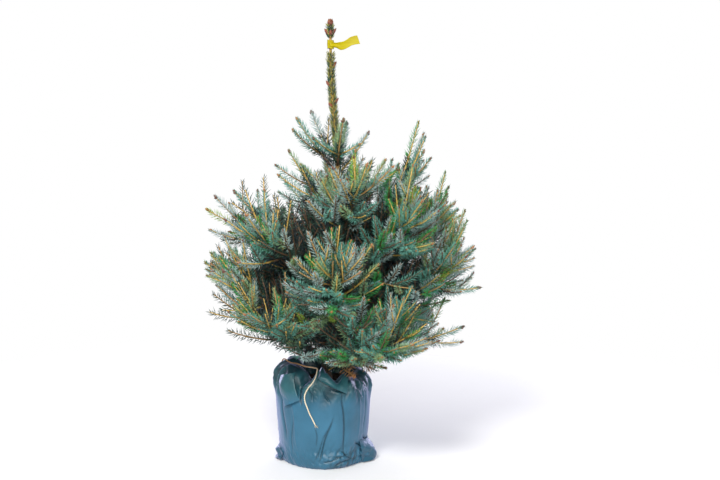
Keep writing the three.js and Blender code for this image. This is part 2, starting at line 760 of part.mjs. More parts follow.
// The four corners of the ribbon's tail at share t of its length.
function ribbonSection(t) {
  const along = heading(RIBBON_TURN);
  const aside = new THREE.Vector3(-along.y, along.x, 0);
  const hang = Math.sin(Math.PI * Math.min(1, t / RIBBON_SAG_SPAN));
  const lean = RIBBON_LEAN * smoothstep(t, 0.25, 1);
  const fold = Math.sin(Math.PI * t);
  const middle = trunkCentre(RIBBON_Z)
    .addScaledVector(along, RIBBON_R + RIBBON_THICK / 4 + RIBBON_TAIL * t)
    .addScaledVector(aside, -RIBBON_BEND * fold)
    .addScaledVector(UP, RIBBON_LIFT * smoothstep(t, 0.3, 1) - RIBBON_SAG * hang);
  const tall = along.clone().multiplyScalar(-Math.sin(lean)).addScaledVector(UP, Math.cos(lean));
  const halfWidth = (RIBBON_WIDTH / 2) * (1 - RIBBON_PINCH * fold);
  const corner = (across, high) =>
    middle
      .clone()
      .addScaledVector(aside, (across * RIBBON_THICK) / 2)
      .addScaledVector(tall, high * halfWidth);
  return [corner(-1, -1), corner(1, -1), corner(1, 1), corner(-1, 1)];
}

// The label: a loop round the leader, with its tail standing out to one side in a wave.
function ribbonSolid() {
  const centre = trunkCentre(RIBBON_Z).setZ(0);
  const band = (radius, height) =>
    loft(
      [-height / 2, height / 2].map((z) =>
        circle(radius, RIBBON_Z + z, RIBBON_SIDES).map((p) => p.add(centre)),
      ),
    );
  const loop = band(RIBBON_R + RIBBON_THICK, RIBBON_WIDTH).subtract(band(RIBBON_R, 2 * RIBBON_WIDTH));
  const tail = loft(evenly(RIBBON_STEPS + 1, (i) => ribbonSection(i / RIBBON_STEPS)));
  return whole(loop.add(tail));
}

// The twine's route: out from under the film at the back left, over the rim, across to the standing flap, over
// it and down the front of the bag.
const TWINE_ROUTE = [
  [-113, 46, 242.5],
  [-107.6, 32, 256.5],
  [-100.6, 12, 261.6],
  [-90.2, -12.6, 261],
  [-80.5, -35, 262.5],
  [-66.5, -50.5, 264.5],
  [-50, -62, 261.5],
  [-34, -72.5, 260.5],
  [-21, -81.5, 260.8],
  [-12, -90.5, 260],
  [-12.4, -101, 253],
  [-15.5, -111, 242.5],
  [-22.5, -117, 230],
  [-34.5, -122, 216],
  [-42.5, -121.8, 199],
  [-42.3, -120, 182],
  [-36.5, -121.5, 166],
  [-30.5, -122, 150],
  [-22.5, -122.8, 134],
  [-16.8, -123.2, 122],
];

function twineMesh() {
  const points = TWINE_ROUTE.map((p) => new THREE.Vector3(...p));
  const extrudePath = new THREE.CatmullRomCurve3(points, false, "centripetal");
  const corners = circle(TWINE_R, 0, TWINE_SIDES).map((p) => new THREE.Vector2(p.x, p.y));
  const options = { steps: TWINE_STEPS, extrudePath, bevelEnabled: false };
  const mesh = new THREE.Mesh(new THREE.ExtrudeGeometry(new THREE.Shape(corners), options), jute());
  mesh.name = "twine";
  return mesh;
}

// ---- assembly -------------------------------------------------------------------------------------------

const trunkCutter = trunkSolid(GAP);

add("pot_bag", bagSolid(), film);
add("root_ball", loft(ballRings(0)), compost);
add("trunk", trunkSolid(), bark);
add("leader_needles", leaderNeedles(trunkCutter), needles);
add("label_ribbon", ribbonSolid(), label);
group.add(twineMesh());

boughs.forEach((b, n) => {
  if (b.bare) add(`bough_${b.name}`, boughSolid(b, trunkCutter), bark);
  add(`foliage_${b.name}`, massSolid(n, trunkCutter), needles);
});

export default group;
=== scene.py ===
"""A young blue spruce, its root ball wrapped in a blue-green film bag that was tied with twine.

Metres, +Z up, the origin in the middle of the bag's flat underside, -Y the front.
"""
import math

import bpy
import numpy as np
from mathutils import Matrix, Vector, noise


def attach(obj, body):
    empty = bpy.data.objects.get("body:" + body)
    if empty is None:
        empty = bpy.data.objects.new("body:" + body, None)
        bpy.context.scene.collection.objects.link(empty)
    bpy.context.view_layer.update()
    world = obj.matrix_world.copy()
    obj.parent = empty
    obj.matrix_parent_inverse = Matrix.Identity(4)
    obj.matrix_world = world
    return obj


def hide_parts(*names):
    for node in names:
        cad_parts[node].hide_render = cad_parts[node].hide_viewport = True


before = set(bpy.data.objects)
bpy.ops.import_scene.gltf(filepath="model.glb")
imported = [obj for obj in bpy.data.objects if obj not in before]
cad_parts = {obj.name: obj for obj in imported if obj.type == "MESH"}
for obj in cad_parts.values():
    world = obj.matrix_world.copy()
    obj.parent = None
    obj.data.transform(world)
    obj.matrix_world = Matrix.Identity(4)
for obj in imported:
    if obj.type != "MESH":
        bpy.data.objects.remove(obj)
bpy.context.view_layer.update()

bpy.ops.object.select_all(action="DESELECT")

# --- Camera ----------------------------------------------------------------------------------------------
# A studio camera on a stand, a little under three metres off, just above the middle of the tree and tipped
# down a few degrees. It comes first because the twine's free end is judged by what it sees.
CAMERA_PLACE = (0.098, -2.95, 0.95)
CAMERA_TIP = 7.12

bpy.ops.object.camera_add(location=CAMERA_PLACE, rotation=(math.radians(90 - CAMERA_TIP), 0, 0))
camera = bpy.context.object
camera.name = "camera"
camera.data.sensor_width = 36
camera.data.lens = 57
camera.data.clip_end = 100
bpy.context.scene.camera = camera

# --- Twine -----------------------------------------------------------------------------------------------
# Two-ply jute twine that closed the bag. It comes out from under the film at the back left, bridges two folds
# of the rim, and hangs down the front to a frayed end. It is 3.2 mm thick, 3.6 mm across its plies, and limp.
TWINE_R = 0.0018
TWINE_LAY = 0.0105  # length of one full turn of the two plies
TWINE_CORNERS = 14
TWINE_ROUTE = (
    (-0.113, 0.046, 0.2425), (-0.1076, 0.032, 0.2565), (-0.1006, 0.012, 0.2616), (-0.0902, -0.0126, 0.261),
    (-0.0805, -0.035, 0.2625), (-0.0665, -0.0505, 0.2645), (-0.050, -0.062, 0.2615), (-0.034, -0.0725, 0.2605),
    (-0.021, -0.0815, 0.2608), (-0.012, -0.0905, 0.260), (-0.0124, -0.101, 0.253), (-0.0155, -0.111, 0.2425),
    (-0.0225, -0.117, 0.230), (-0.0345, -0.122, 0.216), (-0.0425, -0.1218, 0.199), (-0.0423, -0.120, 0.182),
    (-0.0365, -0.1215, 0.166), (-0.0305, -0.122, 0.150), (-0.0225, -0.1228, 0.134), (-0.0168, -0.1232, 0.122),
)


def smooth_route(route, per_span):
    """Points on the centripetal Catmull-Rom curve through a route."""
    p = np.array(route)
    p = np.vstack([2 * p[0] - p[1], p, 2 * p[-1] - p[-2]])
    knots = np.concatenate([[0], np.cumsum(np.linalg.norm(np.diff(p, axis=0), axis=1) ** 0.5)])
    points = []
    for i in range(1, len(p) - 2):
        k0, k1, k2, k3 = knots[i - 1 : i + 3]
        t = np.linspace(k1, k2, per_span, endpoint=False)[:, None]
        a1 = (k1 - t) / (k1 - k0) * p[i - 1] + (t - k0) / (k1 - k0) * p[i]
        a2 = (k2 - t) / (k2 - k1) * p[i] + (t - k1) / (k2 - k1) * p[i + 1]
        a3 = (k3 - t) / (k3 - k2) * p[i + 1] + (t - k2) / (k3 - k2) * p[i + 2]
        b1 = (k2 - t) / (k2 - k0) * a1 + (t - k0) / (k2 - k0) * a2
        b2 = (k3 - t) / (k3 - k1) * a2 + (t - k1) / (k3 - k1) * a3
        points.append((k2 - t) / (k2 - k1) * b1 + (t - k1) / (k2 - k1) * b2)
    return np.vstack([*points, p[-2:-1]])


UP = np.array([0.0, 0.0, 1.0])


def unit(v):
    return v / np.maximum(np.linalg.norm(v, axis=-1, keepdims=True), 1e-12)


def frames_along(points):
    """Ways and two side vectors at each point of a line, carried along it without twist."""
    ways = unit(np.gradient(points, axis=0))
    u = np.cross(ways[0], (0.3, 0.2, 1.0))
    sides = []
    for way in ways:
        u = unit(u - way * (u @ way))
        sides.append(u)
    sides = np.array(sides)
    return ways, sides, np.cross(ways, sides)


def mesh_piece(name, points, faces, material, slot, smooth=True):
    """A piece of the tree from arrays of points and faces, riding on the plant's one body."""
    mesh = bpy.data.meshes.new(name)
    points = np.asarray(points, dtype=np.float32)
    sizes = np.array([len(face) for face in faces], dtype=np.int32)
    corners = faces.ravel() if isinstance(faces, np.ndarray) else np.concatenate([np.asarray(face) for face in faces])
    mesh.vertices.add(len(points))
    mesh.vertices.foreach_set("co", points.ravel())
    mesh.loops.add(len(corners))
    mesh.loops.foreach_set("vertex_index", corners.astype(np.int32))
    mesh.polygons.add(len(sizes))
    mesh.polygons.foreach_set("loop_start", np.concatenate([[0], np.cumsum(sizes)[:-1]]).astype(np.int32))
    mesh.update(calc_edges=True)
    mesh.polygons.foreach_set("use_smooth", np.full(len(sizes), smooth))
    mesh.materials.append(material)
    piece = bpy.data.objects.new(name, mesh)
    bpy.context.scene.collection.objects.link(piece)
    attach(piece, "root")
    return piece


def plain_finish(name, colour, roughness, **inputs):
    """A material with one Principled shader, whose other sockets are given by name."""
    material = bpy.data.materials.new(name)
    material.use_nodes = True
    shader = material.node_tree.nodes["Principled BSDF"]
    shader.inputs["Base Color"].default_value = (*colour, 1)
    shader.inputs["Roughness"].default_value = roughness
    for key, value in inputs.items():
        shader.inputs[key.replace("_", " ")].default_value = value
    return material


class Nodes:
    """Adds nodes to a material or group and links them, left to right."""

    def __init__(self, tree):
        self.tree = tree
        self.made = 0

    def add(self, kind, inputs=None, **settings):
        node = self.tree.nodes.new(kind)
        node.location = (-1400 + 180 * self.made, -260 * (self.made % 3))
        self.made += 1
        for key, value in settings.items():
            setattr(node, key, value)
        for key, value in (inputs or {}).items():
            if isinstance(value, bpy.types.NodeSocket):
                self.tree.links.new(value, node.inputs[key])
            else:
                node.inputs[key].default_value = value
        return node

    def ramp(self, fac, stops):
        node = self.add("ShaderNodeValToRGB", {"Fac": fac})
        elements = node.color_ramp.elements
        while len(elements) < len(stops):
            elements.new(0.5)
        for element, (place, colour) in zip(elements, stops):
            element.position = place
            element.color = (*colour, 1)
        return node.outputs["Color"]

    def mix(self, fac, a, b, blend="MIX"):
        node = self.add("ShaderNodeMix", {0: fac}, data_type="RGBA", blend_type=blend)
        for key, value in ((6, a), (7, b)):
            if isinstance(value, bpy.types.NodeSocket):
                self.tree.links.new(value, node.inputs[key])
            else:
                node.inputs[key].default_value = (*value, 1)
        return node.outputs[2]

    def maths(self, operation, a, b=0.0):
        return self.add("ShaderNodeMath", {0: a, 1: b}, operation=operation).outputs[0]

    def place(self):
        """Where a point is on the piece, in metres."""
        return self.add("ShaderNodeTexCoord").outputs["Object"]

    def level(self, place):
        return self.add("ShaderNodeSeparateXYZ", {0: place}).outputs["Z"]

    def share(self, value, low, high):
        """Rises from 0 to 1 as a value goes from low to high."""
        return self.add("ShaderNodeMapRange", {"Value": value, "From Min": low, "From Max": high}).outputs[0]

    def stretched(self, place, scale):
        return self.add("ShaderNodeMapping", {"Vector": place, "Scale": scale}).outputs[0]

    def cloud(self, place, scale, detail):
        return self.add("ShaderNodeTexNoise", {"Vector": place, "Scale": scale, "Detail": detail}).outputs["Fac"]

    def surface(self, colour, height, strength, distance):
        """Gives the shader a colour and a bump."""
        shader = self.tree.nodes["Principled BSDF"]
        bump = self.add("ShaderNodeBump", {"Height": height, "Strength": strength, "Distance": distance})
        self.tree.links.new(colour, shader.inputs["Base Color"])
        self.tree.links.new(bump.outputs[0], shader.inputs["Normal"])


twine_points = smooth_route(TWINE_ROUTE, 16)
twine_along = np.concatenate([[0], np.cumsum(np.linalg.norm(np.diff(twine_points, axis=0), axis=1))])


def twine_section(along):
    """Corner offsets of the two plies lying side by side, turned by the lay."""
    a = np.arange(TWINE_CORNERS) * 2 * math.pi / TWINE_CORNERS
    reach = TWINE_R * (0.74 + 0.26 * np.abs(np.cos(a)) ** 1.4)
    turn = 2 * math.pi * along / TWINE_LAY
    return reach * np.cos(a + turn), reach * np.sin(a + turn)


def tube_faces(rings, sides, first=0):
    """Faces of a closed tube of rings, with its two ends."""
    i, k = np.meshgrid(np.arange(rings - 1), np.arange(sides), indexing="ij")
    k2 = (k + 1) % sides
    walls = np.stack([i * sides + k, i * sides + k2, (i + 1) * sides + k2, (i + 1) * sides + k], -1)
    walls = (walls.reshape(-1, 4) + first).tolist()
    low = [first + side for side in reversed(range(sides))]
    high = [first + (rings - 1) * sides + side for side in range(sides)]
    return [*walls, low, high]


def make_twine():
    _, u, v = frames_along(twine_points)
    points = []
    for p, along, a, b in zip(twine_points, twine_along, u, v):
        x, y = twine_section(along)
        points.append(p + x[:, None] * a + y[:, None] * b)
    return np.vstack(points), tube_faces(len(twine_points), TWINE_CORNERS)


def jute_finish():
    """Jute: straw-coloured fibres that lie along the plies, rust-stained in the stretch by the knot."""
    material = plain_finish("jute", (0.6, 0.45, 0.26), 0.85)
    n = Nodes(material.node_tree)
    uv = n.add("ShaderNodeUVMap", uv_map="twine").outputs["UV"]
    along = n.add("ShaderNodeSeparateXYZ", {0: uv}).outputs["Y"]
    fibres = n.cloud(n.stretched(uv, (34, 260, 1)), 1.0, 3)
    pale = n.ramp(fibres, ((0.3, (0.55, 0.43, 0.26)), (0.62, (0.92, 0.84, 0.66))))
    rusty = n.ramp(fibres, ((0.3, (0.42, 0.20, 0.08)), (0.62, (0.86, 0.52, 0.28))))
    n.surface(n.mix(n.share(along, 0.14, 0.215), rusty, pale), fibres, 0.7, 0.0004)
    return material


jute = jute_finish()
twine = mesh_piece("twine_cord", *make_twine(), jute, "twine")
uv = twine.data.uv_layers.new(name="twine")
for loop in twine.data.loops:
    ring, corner = divmod(loop.vertex_index, TWINE_CORNERS)
    uv.data[loop.index].uv = (corner / TWINE_CORNERS, float(twine_along[ring]))
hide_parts("twine")


def make_fray():
    """Loose fibres splayed from the cut end."""
    rng = np.random.default_rng(5)
    end = twine_points[-1]
    way = unit(twine_points[-1] - twine_points[-4])
    points, faces = [], []
    for side, count in ((-1, 7), (1, 9)):
        for _ in range(count):
            lean = np.array([side * 0.34, -0.02, 0]) + rng.normal(0, 0.12, 3) * (1, 0.3, 1)
            reach = rng.uniform(0.007, 0.013)
            line = [end - way * 0.002 + (way + lean * t) * reach * t for t in (0, 0.35, 0.7, 1)]
            _, u, v = frames_along(np.array(line))
            first = len(points)
            for step, p in enumerate(line):
                r = (0.00045, 0.0004, 0.0003, 0.00012)[step]
                for a in (0, 2.1, 4.2):
                    points.append(p + r * (math.cos(a) * u[step] + math.sin(a) * v[step]))
            faces += tube_faces(4, 3, first)
    return points, faces


fray = mesh_piece("twine_fray", *make_fray(), plain_finish("jute_fibres", (0.74, 0.62, 0.42), 0.9), "twine")

# --- Film bag --------------------------------------------------------------------------------------------
# A blue-green polythene bag pulled up round the root ball, its mouth gathered in and turned down inside. The
# film is soft and shiny: it hangs in upright folds, and its bottom corners stand out in crumpled ears.
BAG_BASE_R = 0.105
BAG_FOOT_R = 0.113
BAG_TOP_R = 0.126
BAG_RIM_R = 0.096
BAG_RIM_Z = 0.244
BAG_RIM_TILT = 0.015
BAG_RIM_TILT_TURN = 140
BAG_SHOULDER_DROP = 0.030
BAG_LIP = (0.012, 0.005)
BAG_LIP_R = 0.068
BAG_FILM = 0.0004
FOLD_ANGLE = 20
BAG_SIDES = 300
BAG_ROWS = 160
BAG_FRONT_SHARE = 0.42  # how much closer the mesh's columns stand at the front
# Where the foot, the wall, the shoulder and the turned-in lip start in the film's profile, and their spans.
FOOT_FROM, FOOT_SPAN = 0.07, 0.03
WALL_FROM, WALL_SPAN = 0.10, 0.44
SHOULDER_FROM, SHOULDER_SPAN = 0.54, 0.26
LIP_FROM, LIP_SPAN = 0.80, 0.20
# Turn, reach, half width in degrees and the height it dies out at; then turn, rise and half width.
BAG_BULGES = ((-14, 0.024, 14, 0.062), (187, 0.009, 12, 0.042), (-78, 0.008, 34, 0.050))
BAG_FLAPS = (
    (-92, 0.028, 8), (-83, 0.014, 8), (-142, 0.016, 18), (186, 0.005, 22),
    (-56, 0.014, 9), (-115, -0.018, 9), (-70, -0.006, 5),
)
COMPOST_Z = 0.206
BAG_FOLDS = ((0.0015, 5, 0.6), (0.0011, 3, -1.1))  # depth, how many go round, start
# Creases: from (turn, height) to (turn, height), depth and width. A positive depth is a valley.
BAG_CREASES = (
    ((-66, 0.236), (-61, 0.018), 0.0036, 0.0028),
    ((-75, 0.150), (-96, 0.006), 0.0034, 0.0026),
    ((-80, 0.122), (-101, 0.012), 0.0026, 0.0024),
    ((-88, 0.222), (-80, 0.172), 0.0030, 0.0026),
    ((-97, 0.120), (-96, 0.055), 0.0020, 0.0024),
    ((-114, 0.240), (-116, 0.165), 0.0075, 0.0046),
    ((-104, 0.226), (-99, 0.176), 0.0034, 0.0030),
    ((-94, 0.230), (-58, 0.196), 0.0040, 0.0036),
    ((-68, 0.224), (-34, 0.238), 0.0075, 0.0052),
    ((-40, 0.232), (-14, 0.214), 0.0050, 0.0044),
    ((-44, 0.208), (-30, 0.168), -0.0030, 0.0036),
    ((-126, 0.150), (-134, 0.024), 0.0016, 0.0030),
    ((-128, 0.205), (-122, 0.030), -0.0016, 0.0060),
    ((-150, 0.215), (-140, 0.060), 0.0022, 0.0060),
    ((-36, 0.225), (-40, 0.050), -0.0012, 0.0070),
    ((-22, 0.200), (-27, 0.080), 0.0014, 0.0050),
    ((-92, 0.018), (-52, 0.040), 0.0032, 0.0032),
    ((-86, 0.036), (-62, 0.030), 0.0022, 0.0028),
    ((-78, 0.012), (-44, 0.026), 0.0030, 0.0032),
    ((-70, 0.052), (-48, 0.018), 0.0030, 0.0030),
    ((-46, 0.066), (-20, 0.030), 0.0050, 0.0034),
    ((-42, 0.018), (-12, 0.058), -0.0040, 0.0034),
    ((-30, 0.076), (-6, 0.044), 0.0044, 0.0034),
    ((-22, 0.010), (-2, 0.038), 0.0040, 0.0034),
    ((-34, 0.048), (-26, 0.004), 0.0044, 0.0030),
    ((40, 0.220), (34, 0.020), 0.0028, 0.0050),
    ((70, 0.200), (84, 0.012), -0.0024, 0.0052),
    ((108, 0.225), (100, 0.030), 0.0030, 0.0048),
    ((140, 0.180), (126, 0.010), 0.0024, 0.0050),
    ((164, 0.230), (170, 0.020), -0.0026, 0.0056),
)


def hump(turn, middle, spread):
    away = (turn - middle + 180) % 360 - 180
    return np.exp(-((away / spread) ** 2))


def rising(x, low, high):
    t = np.clip((x - low) / (high - low), 0, 1)
    return t * t * (3 - 2 * t)


def bag_bulge(turn, z):
    return sum(
        reach * hump(turn, at, spread) * (1 - rising(z, high * 0.55, high)) for at, reach, spread, high in BAG_BULGES
    )


def bag_folds(turn, z):
    a = np.radians(turn)
    wide = sum(depth * np.sin(count * a + start) for depth, count, start in BAG_FOLDS)
    pleats = 0.0032 * np.sin(13 * a + 1.3 * np.sin(2 * a)) + 0.0018 * np.sin(8 * a + 2)
    return wide * rising(z, 0, 0.04) + pleats * rising(z, 0.13, BAG_RIM_Z)


GATHER_DEEP = 0.0066
GATHER_FINE = 0.0034
GATHER_SINK = 0.0026
GATHER_LAP = 3.4  # degrees


def zigzag(x):
    """A wave of straight flanks and sharp crests."""
    return 2 / math.pi * np.arcsin(0.985 * np.sin(x))


def gather_phase(turn, z):
    a = np.radians(turn)
    return 9 * a + 1.6 * np.sin(2 * a + 0.4) + 1.1 * np.sin(3 * a + 2.0) + 34 * (z - 0.20) * np.sin(a + 0.6)


def gathers(turn, z):
    """How far the film's gathered pleats stand out or fall in, in flat facets with sharp crests."""
    a = np.radians(turn)
    across = 15 * a + 1.2 * np.sin(4 * a) - 62 * (z - 0.20)
    folds = GATHER_DEEP * zigzag(gather_phase(turn, z)) + GATHER_FINE * zigzag(across) - GATHER_SINK
    return folds * rising(z, 0.150, 0.215)


def gather_turn(turn, z):
    """Degrees by which the pleats lean over sideways, so that they lap."""
    return GATHER_LAP * np.cos(gather_phase(turn, z)) * rising(z, 0.17, 0.238)


def bag_tilt(turn):
    return BAG_RIM_TILT * np.cos(np.radians(turn - BAG_RIM_TILT_TURN))


def bag_shoulder(turn):
    return BAG_RIM_Z - BAG_SHOULDER_DROP + bag_tilt(turn)


def bag_rim(turn):
    a = np.radians(turn)
    waves = 0.0024 * np.sin(5 * a + 0.7) + 0.0014 * np.sin(9 * a + 2.1)
    return BAG_RIM_Z + bag_tilt(turn) + waves + sum(rise * hump(turn, at, spread) for at, rise, spread in BAG_FLAPS)


def bag_wall(turn, z):
    up = np.clip(z / bag_shoulder(turn), 0, 1)
    return BAG_FOOT_R + (BAG_TOP_R - BAG_FOOT_R) * np.sin(up * math.pi / 2) + bag_bulge(turn, z) + bag_folds(turn, z)


def bag_creases(turn, z):
    """Sharp creases: a valley with a ridge beside it, dying out at both ends."""
    total = np.zeros_like(turn)
    for (t0, z0), (t1, z1), depth, width in BAG_CREASES:
        x = ((turn - t0 + 180) % 360 - 180) * math.pi / 180 * BAG_TOP_R
        y = z - z0
        along = np.array([(t1 - t0) * math.pi / 180 * BAG_TOP_R, z1 - z0])
        length = np.linalg.norm(along)
        along /= length
        s = (x * along[0] + y * along[1]) / length
        off = x * along[1] - y * along[0]
        wobble = 0.0016 * np.sin(s * 9 + t0)
        off = off + wobble
        ends = rising(s, -0.02, 0.3) * (1 - rising(s, 0.7, 1.02))
        valley = 1.7 * np.exp(-np.abs(off) / width * 2.2)
        ridge = np.exp(-(((off - 2.1 * width) / (1.3 * width)) ** 2))
        total += depth * ends * (0.22 * ridge - valley)
    return total


def crumples(turn, z):
    """Crumples of thin film: facets that meet in sharp ridges and valleys."""
    made = []
    for a, h in zip(np.radians(turn), z):
        place = Vector((math.cos(a) * 4.0, math.sin(a) * 4.0, h * 30 + 3.7 + 1.5 * math.sin(3 * a)))
        broad = noise.voronoi(place * 0.9)[0]
        fine = noise.voronoi(place * 2.2)[0]
        made.append(1.2 * (broad[1] - broad[0]) + 0.9 * broad[0] - 0.9 + 0.7 * (fine[1] - fine[0]))
    return np.array(made)


# Loose flaps of the gathered film: the turn and height of the corners, how far the free edge stands off, and
# how deep its folds are.
FLAP_CLEAR = 0.0050
FILM_FLAPS = (
    (((-152, 0.2360), (-128, 0.2500), (-116, 0.1840), (-138, 0.1600)), 0.0040, 0.0030),
    (((-101, 0.2560), (-56, 0.2480), (-61, 0.2010), (-90, 0.2360)), 0.0030, 0.0020),
    (((-36, 0.0640), (-9, 0.0580), (-2, 0.0040), (-31, 0.0030)), 0.0010, 0.0062),
    (((-170, 0.0380), (-153, 0.0260), (-158, 0.0030), (-180, 0.0050)), 0.0030, 0.0040),
)


def flap_frame(corners, u, v):
    """Turn and height of a flap's point: u across it, v from the held edge down to the free one."""
    (t0, z0), (t1, z1), (t2, z2), (t3, z3) = corners
    turn = (1 - v) * ((1 - u) * t0 + u * t1) + v * ((1 - u) * t3 + u * t2)
    z = (1 - v) * ((1 - u) * z0 + u * z1) + v * ((1 - u) * z3 + u * z2)
    return turn, z


def under_flaps(turn, z):
    """How far the film is covered by a flap: it lies flat there."""
    total = np.zeros_like(turn)
    for corners, _, _ in FILM_FLAPS[:2]:
        middle = np.mean(corners, axis=0)
        spread = np.ptp(corners, axis=0) / 2
        wide = hump(turn, middle[0], 0.85 * spread[0])
        tall = np.exp(-(((z - middle[1]) / (0.85 * spread[1])) ** 2))
        total = np.maximum(total, rising(wide * tall, 0.15, 0.6))
    return total


def film_radius(turn, z):
    """Radius of the smooth film at a height, up the wall and over the shoulder to the rim."""
    shoulder, rim = bag_shoulder(turn), bag_rim(turn)
    t = 1 - np.sqrt(1 - np.clip((z - shoulder) / (rim - shoulder), 0, 1))
    low_r, rim_r = bag_wall(turn, np.minimum(z, shoulder)), BAG_RIM_R + 1.2 * bag_folds(turn, rim)
    return (1 - t) ** 2 * low_r + 2 * t * (1 - t) * (0.88 * low_r + 0.12 * rim_r) + t * t * rim_r


def flap_points(corners, stand, depth, u, v):
    """The flap's points: on the film where it is held, folded and standing off towards its free edge."""
    turn, z = flap_frame(corners, u, v)
    z = np.minimum(z, bag_rim(turn) - 0.002)
    held = np.sin(math.pi * np.clip(u, 0, 1)) ** 0.35
    start = 0.37 * corners[0][0]
    fold = depth * (zigzag(5.2 * (u + v) + start) + 0.7 * zigzag(8.0 * v - 5.0 * u) + 0.35 * crumples(turn, z))
    off = 0.0014 + FLAP_CLEAR * rising(z, 0.150, 0.205) * rising(v, -0.1, 0.35)
    r = film_radius(turn, z) + off + stand * v * (0.25 + 0.75 * held) + fold * (0.2 + 0.8 * v)
    a = np.radians(turn)
    return np.stack([r * np.cos(a), r * np.sin(a), np.maximum(z, 0.0015)], 1)


def bag_profile(turn, share):
    """Radius, height and lip share of the film at a turn, from the middle of the underside to the lip's edge."""
    shoulder, rim = bag_shoulder(turn), bag_rim(turn)
    base = BAG_BASE_R + 0.8 * bag_bulge(turn, 0 * turn)
    foot_z = 0.024 * shoulder
    foot_r = bag_wall(turn, foot_z) - 0.0025
    rim_r = BAG_RIM_R + 1.2 * bag_folds(turn, BAG_RIM_Z + 0 * turn)
    if share < FOOT_FROM:
        t = share / FOOT_FROM
        return base * (0.02 + 0.98 * t), 0 * turn, 0.0
    if share < WALL_FROM:
        t = (share - FOOT_FROM) / FOOT_SPAN
        return base + (foot_r - base) * t, foot_z * t * t, 0.0
    if share < SHOULDER_FROM:
        t = (share - WALL_FROM) / WALL_SPAN
        t = t - 0.08 * math.sin(2 * math.pi * t)
        z = foot_z + (shoulder - foot_z) * t
        blend = 1 - (1 - t / 0.04) ** 2 if t < 0.04 else 1.0
        return bag_wall(turn, z) - 0.0025 * (1 - blend), z, 0.0
    t = (share - SHOULDER_FROM) / SHOULDER_SPAN if share < LIP_FROM else (share - LIP_FROM) / LIP_SPAN
    a, b, c = (1 - t) ** 2, 2 * t * (1 - t), t * t
    if share < LIP_FROM:
        wall_r = bag_wall(turn, shoulder)
        roll_r = wall_r + 0.42 * (rim_r - wall_r)
        z = a * shoulder + b * (rim - 0.003) + c * rim
        return a * wall_r + b * (0.8 * wall_r + 0.2 * roll_r) + c * rim_r, z, 0.0
    lip_r = BAG_LIP_R + 0.0022 * np.sin(np.radians(turn) * 11 + 0.8)
    drop_r = rim_r - 0.012
    z = a * rim + b * (rim - 0.004) + c * (COMPOST_Z + 0.004)
    return a * rim_r + b * (0.5 * drop_r + 0.5 * lip_r) + c * lip_r, z, t


def select_none():
    bpy.ops.object.select_all(action="DESELECT")


MOST_CUTS = 100  # that one subdivide makes


def pipe_blank(name, sides, rows, ends="NOTHING"):
    """A cylinder primitive with its wall cut into rows, ready to be shaped ring by ring."""
    select_none()
    bpy.ops.mesh.primitive_cylinder_add(vertices=sides, radius=1, depth=1, end_fill_type=ends, location=(0, 0, 0.5))
    piece = bpy.context.object
    piece.name = piece.data.name = name
    bpy.ops.object.transform_apply(location=True, rotation=True, scale=True)
    finer = math.ceil(rows / MOST_CUTS)
    for cuts in (rows // finer, finer):
        if cuts > 1:
            cut_upright_edges(piece, cuts)
    return piece


def cut_upright_edges(piece, cuts):
    bpy.ops.object.mode_set(mode="EDIT")
    bpy.ops.mesh.select_mode(type="EDGE")
    bpy.ops.mesh.select_all(action="DESELECT")
    bpy.ops.object.mode_set(mode="OBJECT")
    z = read_points(piece)[:, 2]
    ends = np.empty(len(piece.data.edges) * 2, dtype=np.int32)
    piece.data.edges.foreach_get("vertices", ends)
    ends = ends.reshape(-1, 2)
    piece.data.edges.foreach_set("select", np.abs(z[ends[:, 0]] - z[ends[:, 1]]) > 1e-5)
    bpy.ops.object.mode_set(mode="EDIT")
    bpy.ops.mesh.subdivide(number_cuts=cuts - 1)
    bpy.ops.mesh.select_mode(type="VERT")
    bpy.ops.mesh.select_all(action="DESELECT")
    bpy.ops.object.mode_set(mode="OBJECT")


def read_points(piece):
    points = np.empty(len(piece.data.vertices) * 3)
    piece.data.vertices.foreach_get("co", points)
    return points.reshape(-1, 3)


def write_points(piece, points):
    piece.data.vertices.foreach_set("co", np.asarray(points, dtype=np.float32).ravel())
    piece.data.update()


def finish_piece(piece, material, smooth=True):
    piece.data.polygons.foreach_set("use_smooth", [smooth] * len(piece.data.polygons))
    piece.data.materials.clear()
    piece.data.materials.append(material)
    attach(piece, "root")


def pressed(p):
    """Film points moved in under the twine, so that it lies on the film and sinks in a little."""
    radial = unit(twine_points * (1, 1, 0))
    lift = np.radians(72) * rising(twine_points[:, 2], 0.228, 0.256)
    normal = radial * np.cos(lift)[:, None] + UP * np.sin(lift)[:, None]
    near_any = np.hypot(p[:, 0], p[:, 1]) > 0.06
    made = p.copy()
    rows = np.flatnonzero(near_any & (p[:, 2] > 0.10))
    for some in np.array_split(rows, max(1, len(rows) // 4000)):
        away = p[some][:, None] - twine_points
        height = np.einsum("pkj,kj->pk", away, normal)
        across = np.sqrt(np.maximum((away**2).sum(2) - height**2, 0))
        nearest = across.argmin(1)
        pick = np.arange(len(some))
        height, across = height[pick, nearest], across[pick, nearest]
        inside = (height > -0.012) & (height < 0.016)
        push = np.maximum(0, height + TWINE_R + 0.0006) * (1 - rising(across, 0.004, 0.014)) * inside
        made[some] -= normal[nearest] * push[:, None]
    return made


CRUMPLE_MEAN = 0.22
CRUMPLE_WALL, CRUMPLE_FOOT, CRUMPLE_MOUTH, CRUMPLE_EAR = 0.0007, 0.0032, 0.0058, 0.0105
PRESSED_BY_FLAP = 0.004


